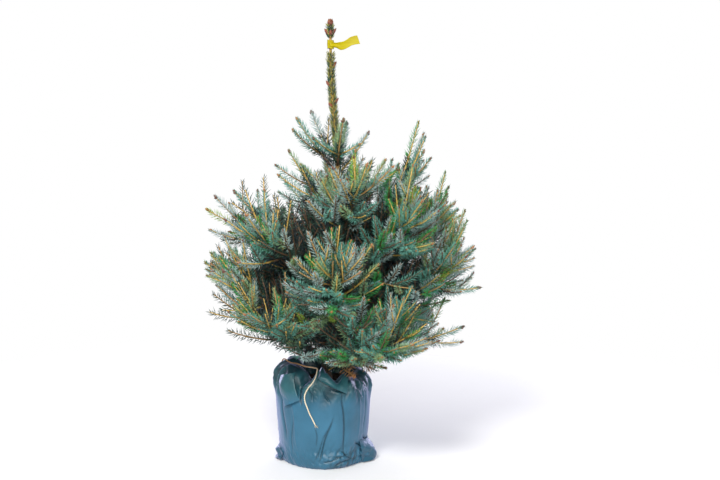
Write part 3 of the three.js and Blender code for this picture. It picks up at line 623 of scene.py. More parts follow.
def shape_bag():
    bag = pipe_blank("film_bag", BAG_SIDES, BAG_ROWS)
    p = read_points(bag)
    front = np.arctan2(p[:, 1], p[:, 0]) + math.pi / 2
    front = (front + math.pi) % (2 * math.pi) - math.pi
    turn = np.degrees(front - BAG_FRONT_SHARE * np.sin(front)) - 90
    row = np.round(p[:, 2] * BAG_ROWS).astype(int)
    made = np.zeros_like(p)
    dents = np.zeros(len(p))
    for r in range(BAG_ROWS + 1):
        here = row == r
        share = r / BAG_ROWS
        t = turn[here]
        radius, z, lip = bag_profile(t, share)
        z = z + 0 * t
        on_wall = 0.0 if share < FOOT_FROM else 1.0
        crumple = crumples(t, z) - CRUMPLE_MEAN
        low = 1 - rising(z, 0.03, 0.075)
        high = rising(z, 0.165, 0.225)
        ear = hump(t, -16, 24) * low
        bare = 1 - under_flaps(t, z)
        loose = bag_creases(t, z) + gathers(t, z) * (1 - 0.3 * lip)
        loose = loose + crumple * (CRUMPLE_WALL + CRUMPLE_FOOT * low + CRUMPLE_MOUTH * high + CRUMPLE_EAR * ear)
        radius = radius + on_wall * (loose * bare - PRESSED_BY_FLAP * (1 - bare))
        # How far a point lies in a crumple's dent, for the painted shade below.
        dents[here] = np.clip(0.52 - 2.8 * (crumple + 0.38), 0, 1)
        centre = np.array([BAG_LIP[0], BAG_LIP[1]]) * lip
        lapped = np.radians(t + gather_turn(t, z))
        made[here, 0] = centre[0] + radius * np.cos(lapped)
        made[here, 1] = centre[1] + radius * np.sin(lapped)
        made[here, 2] = np.maximum(z, 0)
    write_points(bag, pressed(made))
    # An attribute of painted shade that darkens the film: in the creases and gathered pleats, on the inside of the
    # mouth, at the foot and the ear in front, and in the crumples' dents.
    shade = bag.data.attributes.new("crease", "FLOAT", "POINT")
    dark = 0.0032 + 0.0028 * rising(made[:, 2], 0.15, 0.20)
    valley = np.maximum(-bag_creases(turn, made[:, 2]) / dark, -gathers(turn, made[:, 2]) / 0.007)
    # Painted shade on the inside of the mouth, under the foliage.
    mouth_shade = 0.85 * rising(row / BAG_ROWS, 0.80, 0.90)
    z = made[:, 2]
    foot = 1 - rising(z, 0.035, 0.080)
    crumpled = np.maximum(hump(turn, -22, 26), 0.9 * hump(turn, -58, 30)) * foot
    crumpled = np.maximum(crumpled, 0.75 * rising(z, 0.185, 0.225))
    # Painted shade at the foot, most at the ear in front.
    low_shade = 0.35 * hump(turn, -14, 17) * foot + 0.16 * (1 - rising(z, 0.0, 0.12))
    valley = np.maximum(np.maximum(valley, mouth_shade), low_shade + crumpled * dents)
    shade.data.foreach_set("value", np.clip(valley, 0, 1).astype(np.float32))
    bag.data.vertices.foreach_set("select", row == 0)
    bpy.ops.object.mode_set(mode="EDIT")
    bpy.ops.mesh.merge(type="CENTER")
    bpy.ops.mesh.select_all(action="SELECT")
    bpy.ops.mesh.normals_make_consistent(inside=False)
    bpy.ops.object.mode_set(mode="OBJECT")
    film = bag.modifiers.new("film", "SOLIDIFY")
    film.thickness = BAG_FILM
    film.offset = -1
    bpy.ops.object.modifier_apply(modifier=film.name)
    return bag


def sharpen_folds(piece):
    """Keeps the film's folds crisp where its facets meet at more than a slight angle."""
    select_none()
    piece.select_set(True)
    bpy.context.view_layer.objects.active = piece
    bpy.ops.object.shade_smooth_by_angle(angle=math.radians(FOLD_ANGLE))


def film_finish():
    """Polythene film: blue where it lies on the ball, greener in the loose folds, softly shiny and creased, darkened by
    painted shade in its creases, dents, foot and mouth.
    """
    material = plain_finish(
        "bag_film",
        (0.05, 0.17, 0.25),
        0.4,
        Specular_IOR_Level=0.45,
        Coat_Weight=0.08,
        Coat_Roughness=0.28,
        Sheen_Weight=0.42,
        Sheen_Roughness=0.35,
        Sheen_Tint=(0.56, 0.54, 1.0, 1.0),
    )
    n = Nodes(material.node_tree)
    place = n.place()
    cloud = n.cloud(place, 14.0, 3.0)
    streak = n.cloud(n.stretched(place, (60, 60, 9)), 1.0, 4.0)
    body = n.ramp(cloud, ((0.3, (0.018, 0.104, 0.176)), (0.7, (0.031, 0.148, 0.248))))
    loose = n.ramp(cloud, ((0.3, (0.010, 0.070, 0.080)), (0.7, (0.024, 0.115, 0.128))))
    edge = n.maths("ADD", n.level(place), n.maths("MULTIPLY", cloud, 0.03))
    colour = n.mix(n.share(edge, 0.188, 0.226), body, loose)
    colour = n.mix(n.maths("MULTIPLY", streak, 0.22), colour, (0.045, 0.15, 0.225))
    # Painted shade: the film's own attribute mixes its colour towards near-black teal.
    crease = n.add("ShaderNodeAttribute", attribute_name="crease").outputs["Fac"]
    colour = n.mix(n.maths("MULTIPLY", crease, 0.85), colour, (0.005, 0.030, 0.042))
    gloss = n.add("ShaderNodeMapRange", {"Value": streak, "To Min": 0.34, "To Max": 0.54})
    n.tree.links.new(gloss.outputs[0], material.node_tree.nodes["Principled BSDF"].inputs["Roughness"])
    cells = n.stretched(place, (70, 70, 42))
    crumple = n.add("ShaderNodeTexVoronoi", {"Vector": cells, "Scale": 1.0}, feature="SMOOTH_F1").outputs["Distance"]
    n.surface(colour, n.maths("ADD", crumple, n.maths("MULTIPLY", streak, 0.8)), 0.35, 0.0012)
    return material


def shape_flap(number, corners, stand, depth):
    select_none()
    bpy.ops.mesh.primitive_grid_add(x_subdivisions=48, y_subdivisions=40, size=1)
    flap = bpy.context.object
    flap.name = flap.data.name = f"film_flap_{number}"
    p = read_points(flap)
    write_points(flap, pressed(flap_points(corners, stand, depth, p[:, 0] + 0.5, 0.5 - p[:, 1])))
    # The two flaps at the foot take painted shade.
    low_shade = 0.55 if corners[0][1] < 0.1 else 0.0
    shade = flap.data.attributes.new("crease", "FLOAT", "POINT")
    shade.data.foreach_set("value", np.full(len(p), low_shade, dtype=np.float32))
    film = flap.modifiers.new("film", "SOLIDIFY")
    film.thickness = BAG_FILM
    film.offset = 1
    bpy.ops.object.modifier_apply(modifier=film.name)
    return flap


film_bag = shape_bag()
film_look = film_finish()
finish_piece(film_bag, film_look)
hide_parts("pot_bag")
for number, (corners, stand, depth) in enumerate(FILM_FLAPS, 1):
    flap = shape_flap(number, corners, stand, depth)
    finish_piece(flap, film_look)
    sharpen_folds(flap)
    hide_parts("pot_bag")

# --- Compost ---------------------------------------------------------------------------------------------
# The root ball of dark peat and bark compost inside the bag. Its top shows a little in the mouth, lumpy and
# heaped round the stem, with chips of bark lying on it.
BALL_BOTTOM_R = 0.104
BALL_TOP_R = 0.115
BALL_FLOOR = 0.0053
BALL_CROWN_R = 0.034
BALL_CROWN_Z = 0.212
BALL_SIDES = 128
BALL_ROWS = 70
CHIP_COUNT = 420
CHIP_CORNERS = (
    (-1, -0.6, -1), (1, -1, -1), (0.7, 1, -1), (-1, 0.8, -1),
    (-0.9, -0.5, 1), (0.8, -0.8, 1), (0.6, 0.9, 1), (-0.8, 0.7, 1),
)
CHIP_FACES = ((3, 2, 1, 0), (4, 5, 6, 7), (0, 1, 5, 4), (1, 2, 6, 5), (2, 3, 7, 6), (3, 0, 4, 7))


def compost_height(x, y):
    radius = np.hypot(x, y)
    heap = np.clip((BALL_TOP_R - 0.006 - radius) / (BALL_TOP_R - 0.006 - BALL_CROWN_R), 0, 1)
    return COMPOST_Z + (BALL_CROWN_Z - COMPOST_Z) * heap


def shape_compost():
    ball = pipe_blank("compost_ball", BALL_SIDES, BALL_ROWS, "TRIFAN")
    p = read_points(ball)
    share = p[:, 2]
    turn = np.arctan2(p[:, 1], p[:, 0])
    hub = np.hypot(p[:, 0], p[:, 1]) < 0.5
    side = np.clip(share / 0.15, 0, 1)
    top = np.clip((share - 0.15) / 0.85, 0, 1)
    wall = BALL_BOTTOM_R + (BALL_TOP_R - 0.001 - BALL_BOTTOM_R) * side
    radius = np.where(share < 0.15, wall, (BALL_TOP_R - 0.001) * (1 - top) + 0.003 * top)
    radius = np.where(hub, 0, radius)
    x, y = radius * np.cos(turn), radius * np.sin(turn)
    z = np.where(share < 0.15, BALL_FLOOR + (COMPOST_Z - 0.004 - BALL_FLOOR) * side, compost_height(x, y))
    lumps = np.array([noise.fractal(Vector((a * 90, b * 90, 1.3)), 1.0, 2.0, 4) for a, b in zip(x, y)])
    z = np.where(share > 0.18, z - 0.001 + 0.0022 * np.clip(lumps, -1, 1), z)
    z = np.where(hub & (share > 0.5), BALL_CROWN_Z - 0.001, z)
    z = np.where(hub & (share < 0.5), BALL_FLOOR, z)
    write_points(ball, np.stack([x, y, z], 1))
    return ball


def compost_finish():
    material = plain_finish("compost", (0.03, 0.02, 0.013), 0.95)
    n = Nodes(material.node_tree)
    grain = n.cloud(n.place(), 240.0, 5.0)
    stops = ((0.3, (0.008, 0.005, 0.004)), (0.55, (0.035, 0.022, 0.014)), (0.75, (0.10, 0.065, 0.04)))
    n.surface(n.ramp(grain, stops), grain, 0.9, 0.002)
    return material


def bark_chips():
    """Flat splinters of bark strewn on the compost inside the lip."""
    rng = np.random.default_rng(11)
    points, faces = [], []
    for _ in range(CHIP_COUNT):
        radius = BAG_LIP_R * math.sqrt(rng.uniform(0.06, 0.9))
        turn = rng.uniform(0, 2 * math.pi)
        x, y = BAG_LIP[0] + radius * math.cos(turn), BAG_LIP[1] + radius * math.sin(turn)
        if math.hypot(x - 0.008, y) < 0.022:
            continue
        long, wide, thick = rng.uniform(0.003, 0.010), rng.uniform(0.0015, 0.004), rng.uniform(0.0007, 0.0016)
        turned = Matrix.Rotation(rng.uniform(0, 6.28), 3, "Z")
        turned = turned @ Matrix.Rotation(rng.normal(0, 0.3), 3, "X")
        turned = turned @ Matrix.Rotation(rng.normal(0, 0.3), 3, "Y")
        z = float(compost_height(x, y)) + 0.0012
        first = len(points)
        for c in CHIP_CORNERS:
            corner = turned @ Vector((c[0] * long / 2, c[1] * wide / 2, c[2] * thick / 2))
            points.append((x + corner.x, y + corner.y, z + corner.z))
        faces += [[first + i for i in face] for face in CHIP_FACES]
    return points, faces


compost = shape_compost()
compost_look = compost_finish()
finish_piece(compost, compost_look)
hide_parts("root_ball")
chips = mesh_piece("bark_chips", *bark_chips(), compost_look, "compost", smooth=False)
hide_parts("root_ball")

# --- Trunk -----------------------------------------------------------------------------------------------
# One stem from a small root flare to the bud that ends the leader. The bark of a tree this young is thin,
# grey-brown and scaly, and the leader's is still green-gold, ridged by the pegs that its needles stand on.
FOOT_Z = 0.2123
TOP_WHORL_Z = 0.765
TIP_Z = 1.150
TRUNK_ROOT_X = 0.008
TRUNK_LEAN = 0.032
LEADER_RETURN = 0.018
LEADER_BEND = 0.170
TRUNK_SWAY = 0.005
TRUNK_R_FOOT = 0.0125
TRUNK_R_TOP = 0.0062
LEADER_R_BASE = 0.0052
LEADER_R_TIP = 0.0028
FLARE_R = 0.006
FLARE_H = 0.016
BUD_LENGTH = 0.017
BUD_SWELL = 0.0024
BUD_TIP = 0.0012
TRUNK_SIDES = 40
TRUNK_ROWS = 600


def trunk_centre(z):
    z = np.asarray(z, dtype=float)
    t = (z - FOOT_Z) / (TOP_WHORL_Z - FOOT_Z)
    back = LEADER_RETURN * (1 - np.exp(-((np.maximum(0, z - TOP_WHORL_Z) / LEADER_BEND) ** 2)))
    x = TRUNK_ROOT_X + TRUNK_LEAN * rising(t, 0, 1) - back
    return np.stack([x, TRUNK_SWAY * np.sin(1.4 * math.pi * t), z], -1)


def trunk_flare(z):
    return FLARE_R * np.exp(-(z - FOOT_Z) / FLARE_H)


def trunk_radius(z):
    t = (z - TOP_WHORL_Z) / (TIP_Z - TOP_WHORL_Z)
    wood = LEADER_R_BASE + (LEADER_R_TIP - LEADER_R_BASE) * t
    up_bud = np.maximum(0, (z - TIP_Z) / BUD_LENGTH + 1)
    leader = wood + (BUD_TIP - wood) * up_bud**3 + BUD_SWELL * np.sin(math.pi * up_bud)
    s = (z - FOOT_Z) / (TOP_WHORL_Z - FOOT_Z)
    trunk = TRUNK_R_FOOT + (TRUNK_R_TOP - TRUNK_R_FOOT) * s + trunk_flare(z)
    return np.where(z > TOP_WHORL_Z, leader, trunk)


def shape_trunk():
    trunk = pipe_blank("trunk_bark", TRUNK_SIDES, TRUNK_ROWS, "TRIFAN")
    p = read_points(trunk)
    turn = np.arctan2(p[:, 1], p[:, 0])
    hub = np.hypot(p[:, 0], p[:, 1]) < 0.5
    z = FOOT_Z + (TIP_Z - FOOT_Z) * np.clip(p[:, 2], 0, 1)
    radius = trunk_radius(z)
    lobes = 0.35 * trunk_flare(z) * np.cos(5 * turn)
    relief = np.array([
        noise.noise(Vector((math.cos(a) * 2.2, math.sin(a) * 2.2, h * 70)))
        + 0.6 * noise.noise(Vector((math.cos(a) * 5, math.sin(a) * 5, h * 210)))
        for a, h in zip(turn, z)
    ])
    pegs = np.maximum(0, np.sin(8 * turn + z * 620) * np.sin(z * 1300)) ** 2
    old = 1 - rising(z, 0.60, TOP_WHORL_Z)
    radius = radius + lobes + relief * (0.0002 + 0.0006 * old) - 0.0006 * old
    radius = radius + pegs * 0.0005 * (1 - old) * (z < TIP_Z - BUD_LENGTH)
    radius = np.where(hub, 0, radius)
    centre = trunk_centre(z)
    write_points(trunk, centre + np.stack([radius * np.cos(turn), radius * np.sin(turn), 0 * z], 1))
    return trunk


def bark_group():
    """Bark: scales with dark cracks, given the colours of old and young wood and the height they change at."""
    group = bpy.data.node_groups.new("bark scales", "ShaderNodeTree")
    for name, kind, value in (
        ("Old", "NodeSocketColor", (0.11, 0.08, 0.06, 1)),
        ("Young", "NodeSocketColor", (0.30, 0.20, 0.08, 1)),
        ("Young Share", "NodeSocketFloat", 0.0),
        ("Scale", "NodeSocketFloat", 1.0),
    ):
        socket = group.interface.new_socket(name, in_out="INPUT", socket_type=kind)
        socket.default_value = value
    group.interface.new_socket("Color", in_out="OUTPUT", socket_type="NodeSocketColor")
    group.interface.new_socket("Height", in_out="OUTPUT", socket_type="NodeSocketFloat")
    n = Nodes(group)
    given = n.add("NodeGroupInput").outputs
    place = n.add("ShaderNodeTexCoord").outputs["Object"]
    stretched = n.add("ShaderNodeMapping", {"Vector": place, "Scale": (260, 260, 90)}).outputs[0]
    scales = n.add("ShaderNodeTexVoronoi", {"Vector": stretched, "Scale": given["Scale"]}, feature="DISTANCE_TO_EDGE")
    grain = n.add("ShaderNodeTexNoise", {"Vector": stretched, "Scale": 1.6, "Detail": 5.0})
    plate = n.add("ShaderNodeMapRange", {"Value": scales.outputs["Distance"], "From Max": 0.22})
    light = n.mix(grain.outputs["Fac"], (0.55, 0.5, 0.48), (1.5, 1.45, 1.35))
    wood = n.mix(given["Young Share"], given["Old"], given["Young"])
    shaded = n.mix(1.0, wood, light, "MULTIPLY")
    cracked = n.mix(plate.outputs[0], (0.03, 0.02, 0.015), shaded)
    kept = n.mix(given["Young Share"], cracked, shaded)
    height = n.maths("ADD", plate.outputs[0], n.maths("MULTIPLY", grain.outputs["Fac"], 0.7))
    out = n.add("NodeGroupOutput")
    group.links.new(kept, out.inputs["Color"])
    group.links.new(height, out.inputs["Height"])
    return group


bark_scales = bark_group()


def bark_finish(name, old, young, low, high):
    """Bark of a limb, with its young share rising between two heights."""
    material = plain_finish(name, old, 0.85)
    n = Nodes(material.node_tree)
    bark = n.add("ShaderNodeGroup", node_tree=bark_scales)
    bark.inputs["Old"].default_value = (*old, 1)
    bark.inputs["Young"].default_value = (*young, 1)
    n.tree.links.new(n.share(n.level(n.place()), low, high), bark.inputs["Young Share"])
    n.surface(bark.outputs["Color"], bark.outputs["Height"], 0.8, 0.0008)
    return material


trunk_bark = shape_trunk()
finish_piece(trunk_bark, bark_finish("trunk bark", (0.12, 0.085, 0.06), (0.42, 0.27, 0.08), 0.66, 0.80))
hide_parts("trunk")

# --- Boughs ----------------------------------------------------------------------------------------------
# The limbs of each year's whorl, bare of needles near the trunk. They rise from a small collar, taper outwards
# and turn up, and have the same thin scaly bark as the trunk.
WHORLS = (
    # name, height, turns, rise, grow, length, bare, tilt, favour
    ("foot", 0.264, (-64, -14), 10, -22, 0.165, 0, 0, 0),
    ("low", 0.286, (2, 62, 121, 178, 237, 301), 9, 18, 0.345, 0.096, -8, 0.04),
    ("broad", 0.352, (-8, 52, 112, 172, 216, 274), 19, 22, 0.415, 0.112, 2, 0.11),
    ("middle", 0.430, (14, 88, 163, 232, 322), 29, 20, 0.405, 0.104, 1, 0.02),
    ("upper", 0.520, (2, 98, 188, 282), 35, 20, 0.355, 0.084, 4, 0.15),
    ("high", 0.640, (24, 96, 163, 236, 312), 37, 22, 0.208, 0, 0, 0.02),
    ("top", TOP_WHORL_Z, (22, 76, 134, 176, 276), 45, 12, 0.148, 0, 0, -0.12),
)
HEIGHT_STAGGER = 0.036
BOUGH_R_PER_LENGTH = 0.0135
BOUGH_TAPER = 0.62
TWIG_R_TIP = 0.0015
NEWEST_GROWTH = 0.108
SPUR_STEP = 0.060
SPUR_ROLLS = ((-14, 194, 90), (40, 140, 268))
FORK = 46
SHOOT_LEAST = 0.046
SHOOT_SHARE = 0.56
SHOOT_LIFT = 0.2


def draws(seed):
    """The tree's own stream of numbers from 0 to 1."""
    state = seed
    while True:
        state = state * 16807 % 2147483647
        yield state / 2147483647


class Bough:
    """A limb: an arc in an upright plane that sways to one side, and the plan of its side shoots."""

    def __init__(self, whorl, w, n):
        name, z, turns, rise, grow, length, bare, tilt, favour = whorl
        stream = draws(1009 * (w + 1) + 131 * (n + 1))
        swing = lambda width: (next(stream) - 0.5) * width
        swing(1)
        self.name = f"{name}_{n + 1}"
        self.bare = bare
        self.whorl = name
        self.turn = turns[n] + swing(6)
        side = math.cos(math.radians(self.turn))
        self.length = length * (1 + favour * side + swing(0.12))
        step = (n * 2) % len(turns) / len(turns)
        self.root = trunk_centre(z + HEIGHT_STAGGER * (step - 0.4))
        self.rise = math.radians(rise + tilt * side + swing(6))
        self.grow = math.radians(grow)
        self.sway = swing(0.16)
        self.spurs = []
        at, ring = self.length - NEWEST_GROWTH, 0
        while at > max(bare + 0.016, 0.040):
            for roll in SPUR_ROLLS[ring % 2]:
                if rise > 15 or roll < 200:
                    fork = FORK + swing(12)
                    rolled = roll + swing(26)
                    reach = SHOOT_LEAST + SHOOT_SHARE * (self.length - at) * (1 + swing(0.3))
                    self.spurs.append((at, fork, rolled, reach))
            at, ring = at - SPUR_STEP, ring + 1

    def at(self, d):
        d = np.asarray(d, dtype=float)
        s = d / self.length
        a, c = self.rise, self.grow
        out = self.length / c * (np.sin(a + c * s) - math.sin(a))
        up = self.length / c * (math.cos(a) - np.cos(a + c * s))
        along = np.array([math.cos(math.radians(self.turn)), math.sin(math.radians(self.turn)), 0])
        aside = np.array([-along[1], along[0], 0])
        swayed = self.sway * self.length * s * s
        return self.root + out[..., None] * along + swayed[..., None] * aside + up[..., None] * UP

    def radius(self, d):
        return np.maximum(TWIG_R_TIP, BOUGH_R_PER_LENGTH * (self.length - BOUGH_TAPER * np.asarray(d)))


boughs = [Bough(whorl, w, n) for w, whorl in enumerate(WHORLS) for n in range(len(whorl[2]))]


def limb_mesh(path, radius, steps, sides, relief, seed):
    """A tapering limb along a path, its surface raised by the bark's relief."""
    d = np.linspace(0, 1, steps)
    points = path(d)
    _, u, v = frames_along(points)
    a = np.arange(sides) * 2 * math.pi / sides
    made = []
    for i, p in enumerate(points):
        rough = np.array([noise.noise(Vector((math.cos(k) * 2 + seed, math.sin(k) * 2, i * 0.55))) for k in a])
        r = radius(d[i]) * (1 + relief * rough)
        made.append(p + (r * np.cos(a))[:, None] * u[i] + (r * np.sin(a))[:, None] * v[i])
    return np.vstack(made)


LIMB_STEPS = 36
LIMB_SIDES = 12
COLLAR_SWELL = 0.28


def make_boughs():
    points, faces = [], []
    first = 0
    for seed, b in enumerate(boughs):
        if not b.bare:
            continue
        start = float(trunk_radius(b.root[2])) * 0.55
        collar = lambda t: b.radius(b.bare * t) * (1 + COLLAR_SWELL * np.exp(-t * 9))
        made = limb_mesh(lambda t: b.at(start + (b.bare - start) * t), collar, LIMB_STEPS, LIMB_SIDES, 0.10, seed * 3.1)
        points.append(made)
        faces += tube_faces(LIMB_STEPS, LIMB_SIDES, first)
        first += len(made)
    return np.vstack(points), faces


bough_look = bark_finish("bough bark", (0.14, 0.10, 0.075), (0.20, 0.13, 0.07), 0.4, 0.9)
bough_bark = mesh_piece("bough_bark", *make_boughs(), bough_look, "bark")
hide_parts(*[f"bough_{b.name}" for b in boughs if b.bare])

# --- Shoots ----------------------------------------------------------------------------------------------
# Every bough goes on into a spray of shoots: its own tip, the side shoots of each year, weaker ones between
# them, and twigs on the side shoots. The young wood is golden and turns brown with age.
SPACE_MARGIN = 0.0024
LIMB_MARGIN = 0.004
ROOM_SHARES = np.array([0.3, 0.45, 0.6, 0.75, 0.9, 1.0])
SLEEVE_FOOT_Z = 0.789  # the leader's own needles start here
SLEEVE_REACH = 0.0125
TWIG_STEP = 0.030
TWIG_LEAST = 0.026


def distance_to(line, p):
    """Distance from each of some points to a line of points."""
    a, b = line[:-1], line[1:]
    ab = b - a
    t = np.einsum("psk,sk->ps", p[:, None] - a, ab) / np.maximum((ab * ab).sum(1), 1e-12)
    near = a + np.clip(t, 0, 1)[..., None] * ab
    return np.linalg.norm(p[:, None] - near, axis=2).min(1)


bough_lines = [b.at(np.linspace(0, b.length, 13)) for b in boughs]
line_starts = np.vstack([line[:-1] for line in bough_lines])
line_steps = np.vstack([np.diff(line, axis=0) for line in bough_lines])
line_squares = (line_steps**2).sum(1)


def distances_to_boughs(p):
    """Distance from each point to each bough's line."""
    t = np.einsum("psk,sk->ps", p[:, None] - line_starts, line_steps) / line_squares
    near = line_starts + np.clip(t, 0, 1)[..., None] * line_steps
    return np.linalg.norm(p[:, None] - near, axis=2).reshape(len(p), len(boughs), 12).min(2)


limb_lines = [b.at(np.linspace(0, b.bare, 5)) if b.bare else None for b in boughs]


def in_space(n, p, shared=False, room=SPACE_MARGIN):
    """Which points are in the space of bough n, and clear of trunk, leader, film and limb.

    The inner twigs share the space round the trunk, so they only keep clear of wood and film.
    """
    middle = trunk_centre(np.clip(p[:, 2], FOOT_Z, TIP_Z))
    sleeve = np.where(p[:, 2] > SLEEVE_FOOT_Z, SLEEVE_REACH, 0)
    good = np.linalg.norm(middle - p, axis=1) > trunk_radius(middle[:, 2]) + sleeve + room
    over = np.hypot(p[:, 0], p[:, 1]) > BAG_TOP_R + 0.014
    good &= over | (p[:, 2] > bag_rim(np.degrees(np.arctan2(p[:, 1], p[:, 0]))) + 0.006 + room)
    if limb_lines[n] is not None:
        good &= distance_to(limb_lines[n], p) > boughs[n].radius(0) + LIMB_MARGIN
    if shared:
        return good
    to_boughs = distances_to_boughs(p)
    own = to_boughs[:, n] + 2 * room
    to_boughs[:, n] = np.inf
    return good & (to_boughs.min(1) > own)


# The crown's outline, from the left side to the right: how low and how high the finest shoots may reach.
OUTLINE_X = (-0.31, -0.25, -0.20, -0.15, -0.10, -0.05, 0.00, 0.05, 0.10, 0.15, 0.20, 0.27, 0.34, 0.40)
OUTLINE_LOW = (0.50, 0.46, 0.41, 0.36, 0.332, 0.314, 0.286, 0.264, 0.256, 0.262, 0.30, 0.35, 0.40, 0.48)
OUTLINE_HIGH = (0.56, 0.63, 0.65, 0.68, 0.72, 0.74, 0.76, 0.77, 0.775, 0.785, 0.79, 0.80, 0.74, 0.62)
OUTLINE_REACH_Z = (0.24, 0.30, 0.36, 0.46, 0.56, 0.66, 0.74, 0.80, 0.84)
OUTLINE_REACH = (0.16, 0.25, 0.32, 0.36, 0.37, 0.33, 0.27, 0.22, 0.12)
# Sprays whose tips fall in this core or in the hollows below are coloured dark: painted shade.
SHADE_MIDDLE = (0.03, 0.0, 0.49)
SHADE_REACH = (0.250, 0.245, 0.250)
HOLLOWS = (
    ((-0.045, -0.20, 0.625), 0.080),
    ((0.155, -0.15, 0.705), 0.060),
    ((0.035, -0.25, 0.500), 0.045),
    ((-0.110, -0.20, 0.545), 0.045),
    ((-0.175, -0.16, 0.480), 0.040),
    ((-0.155, -0.13, 0.640), 0.040),
    ((-0.205, -0.10, 0.560), 0.035),
    ((-0.130, -0.21, 0.430), 0.038),
    ((0.110, 0.19, 0.560), 0.065),
    ((-0.150, 0.14, 0.500), 0.055),
    ((0.020, 0.22, 0.420), 0.050),
)


def in_outline(p, over):
    """Which points are in the crown's outline, which a strong shoot may pass by a little."""
    low = np.interp(p[:, 0], OUTLINE_X, OUTLINE_LOW)
    high = np.interp(p[:, 0], OUTLINE_X, OUTLINE_HIGH) + over
    reach = np.interp(p[:, 2] - over, OUTLINE_REACH_Z, OUTLINE_REACH)
    return (p[:, 2] > low) & (p[:, 2] < high) & (np.hypot(p[:, 0] - 0.04, p[:, 1]) < reach)


def in_shade(p):
    """Whether a point is deep in the crown."""
    return (((p - SHADE_MIDDLE) / SHADE_REACH) ** 2).sum(-1) < 1


def in_hollow(p):
    """Whether a point is in one of the dark hollows between the boughs."""
    return any(np.linalg.norm(p - np.array(middle)) < reach for middle, reach in HOLLOWS)


def through_hollow(path, end):
    """Whether the outer half of a shoot is in a hollow."""
    return any(in_hollow(path(np.array([end * share]))[0]) for share in (0.6, 0.8, 1.0))


# Kinds of shoot: a bough's own tip, its planned side shoots, the weaker ones between them, twigs on any of
# these, inner twigs round the trunk, twigs on those, and the strong shoots, which then count as weak.
TIP, SIDE, WEAK, TWIG, INNER, INNER_TWIG, STRONG = range(7)


class Shoot:
    """A straight young shoot with a slight upward turn, or the tip of a bough."""

    def __init__(self, mass, path, start, end, order, age):
        self.mass, self.path, self.start, self.end, self.order, self.age = mass, path, start, end, order, age

    def way(self, d):
        return unit(self.path(d + 0.001) - self.path(d - 0.001))


def side_path(path, at, fork, roll, length):
    """The line of a shoot that forks from another."""
    way = unit(path(np.array([at + 0.001])) - path(np.array([at - 0.001])))[0]
    aside = unit(np.cross(way, UP))
    above = np.cross(aside, way)
    out = aside * math.cos(math.radians(roll)) + above * math.sin(math.radians(roll))
    line = way * math.cos(math.radians(fork)) + out * math.sin(math.radians(fork))
    start = path(np.array([at]))[0]
    lift = SHOOT_LIFT / length
    return lambda d: start + np.asarray(d, dtype=float)[..., None] * line + (lift * np.asarray(d) ** 2)[..., None] * UP


def fitted(n, path, length, shared, over=None):
    p = path(length * ROOM_SHARES)
    good = in_space(n, p, shared) & (over is None or in_outline(p, over))
    blocked = int(np.argmin(good)) if not good.all() else len(good)
    if blocked == len(good):
        return length
    return length * ROOM_SHARES[blocked - 1] if blocked else 0.0


# Strong shoots that stand up out of the crown: the bough, and the place, fork, roll and length of each.
STRONG_SHOOTS = (
    ("upper_1", 0.250, 15, 90, 0.170),
    ("upper_1", 0.275, 20, 20, 0.130),
    ("upper_1", 0.295, 18, 165, 0.120),
    ("middle_5", 0.300, 24, 80, 0.150),
    ("middle_1", 0.330, 28, 90, 0.125),
    ("upper_4", 0.290, 22, 50, 0.085),
    ("middle_4", 0.290, 24, 60, 0.130),
    ("broad_5", 0.250, 26, 70, 0.140),
    ("low_5", 0.240, 24, 60, 0.140),
    ("low_5", 0.125, 52, 172, 0.165),
    ("low_5", 0.155, 50, 150, 0.150),
    ("low_5", 0.185, 48, 185, 0.140),
    ("low_5", 0.225, 40, 160, 0.120),
    ("low_6", 0.120, 54, 8, 0.165),
    ("low_6", 0.150, 52, 32, 0.155),
    ("low_6", 0.180, 48, -6, 0.140),
    ("low_6", 0.220, 42, 24, 0.125),
    ("broad_6", 0.125, 50, 245, 0.150),
    ("broad_6", 0.150, 54, 292, 0.150),
    ("broad_6", 0.175, 46, 268, 0.140),
    ("broad_6", 0.200, 46, 232, 0.140),
    ("broad_6", 0.215, 44, 308, 0.135),
    ("broad_6", 0.245, 38, 258, 0.120),
    ("broad_6", 0.265, 38, 284, 0.115),
    ("broad_6", 0.200, 48, 170, 0.150),
    ("broad_6", 0.245, 42, 150, 0.130),
    ("broad_1", 0.160, 50, 5, 0.160),
    ("broad_1", 0.195, 48, 28, 0.150),
    ("broad_1", 0.235, 46, -8, 0.140),
    ("broad_1", 0.275, 42, 18, 0.130),
    ("middle_5", 0.170, 46, 330, 0.140),
    ("middle_5", 0.210, 44, 250, 0.130),
    ("middle_5", 0.245, 42, 290, 0.120),
)


WEAK_ROLLS = [-20, 15, 55, 90, 125, 165, 200]
WEAK_FORK, INNER_FORK, TWIG_FORK = (22, 42), (34, 66), (34, 46)
INNER_LENGTH = (0.060, 0.180)
INNER_STEP, INNER_STEP_HIGH = 0.0065, 0.009
INTERLEAVED_SHARE = 0.8  # of the weak shoots grow in among those of other boughs
STRONG_SHARE, STRONG_OVER = 0.14, 0.050  # weak shoots that pass the outline, and by how much
HOLLOW_CLEARED = 0.88  # share of the shoots through a hollow that are missing


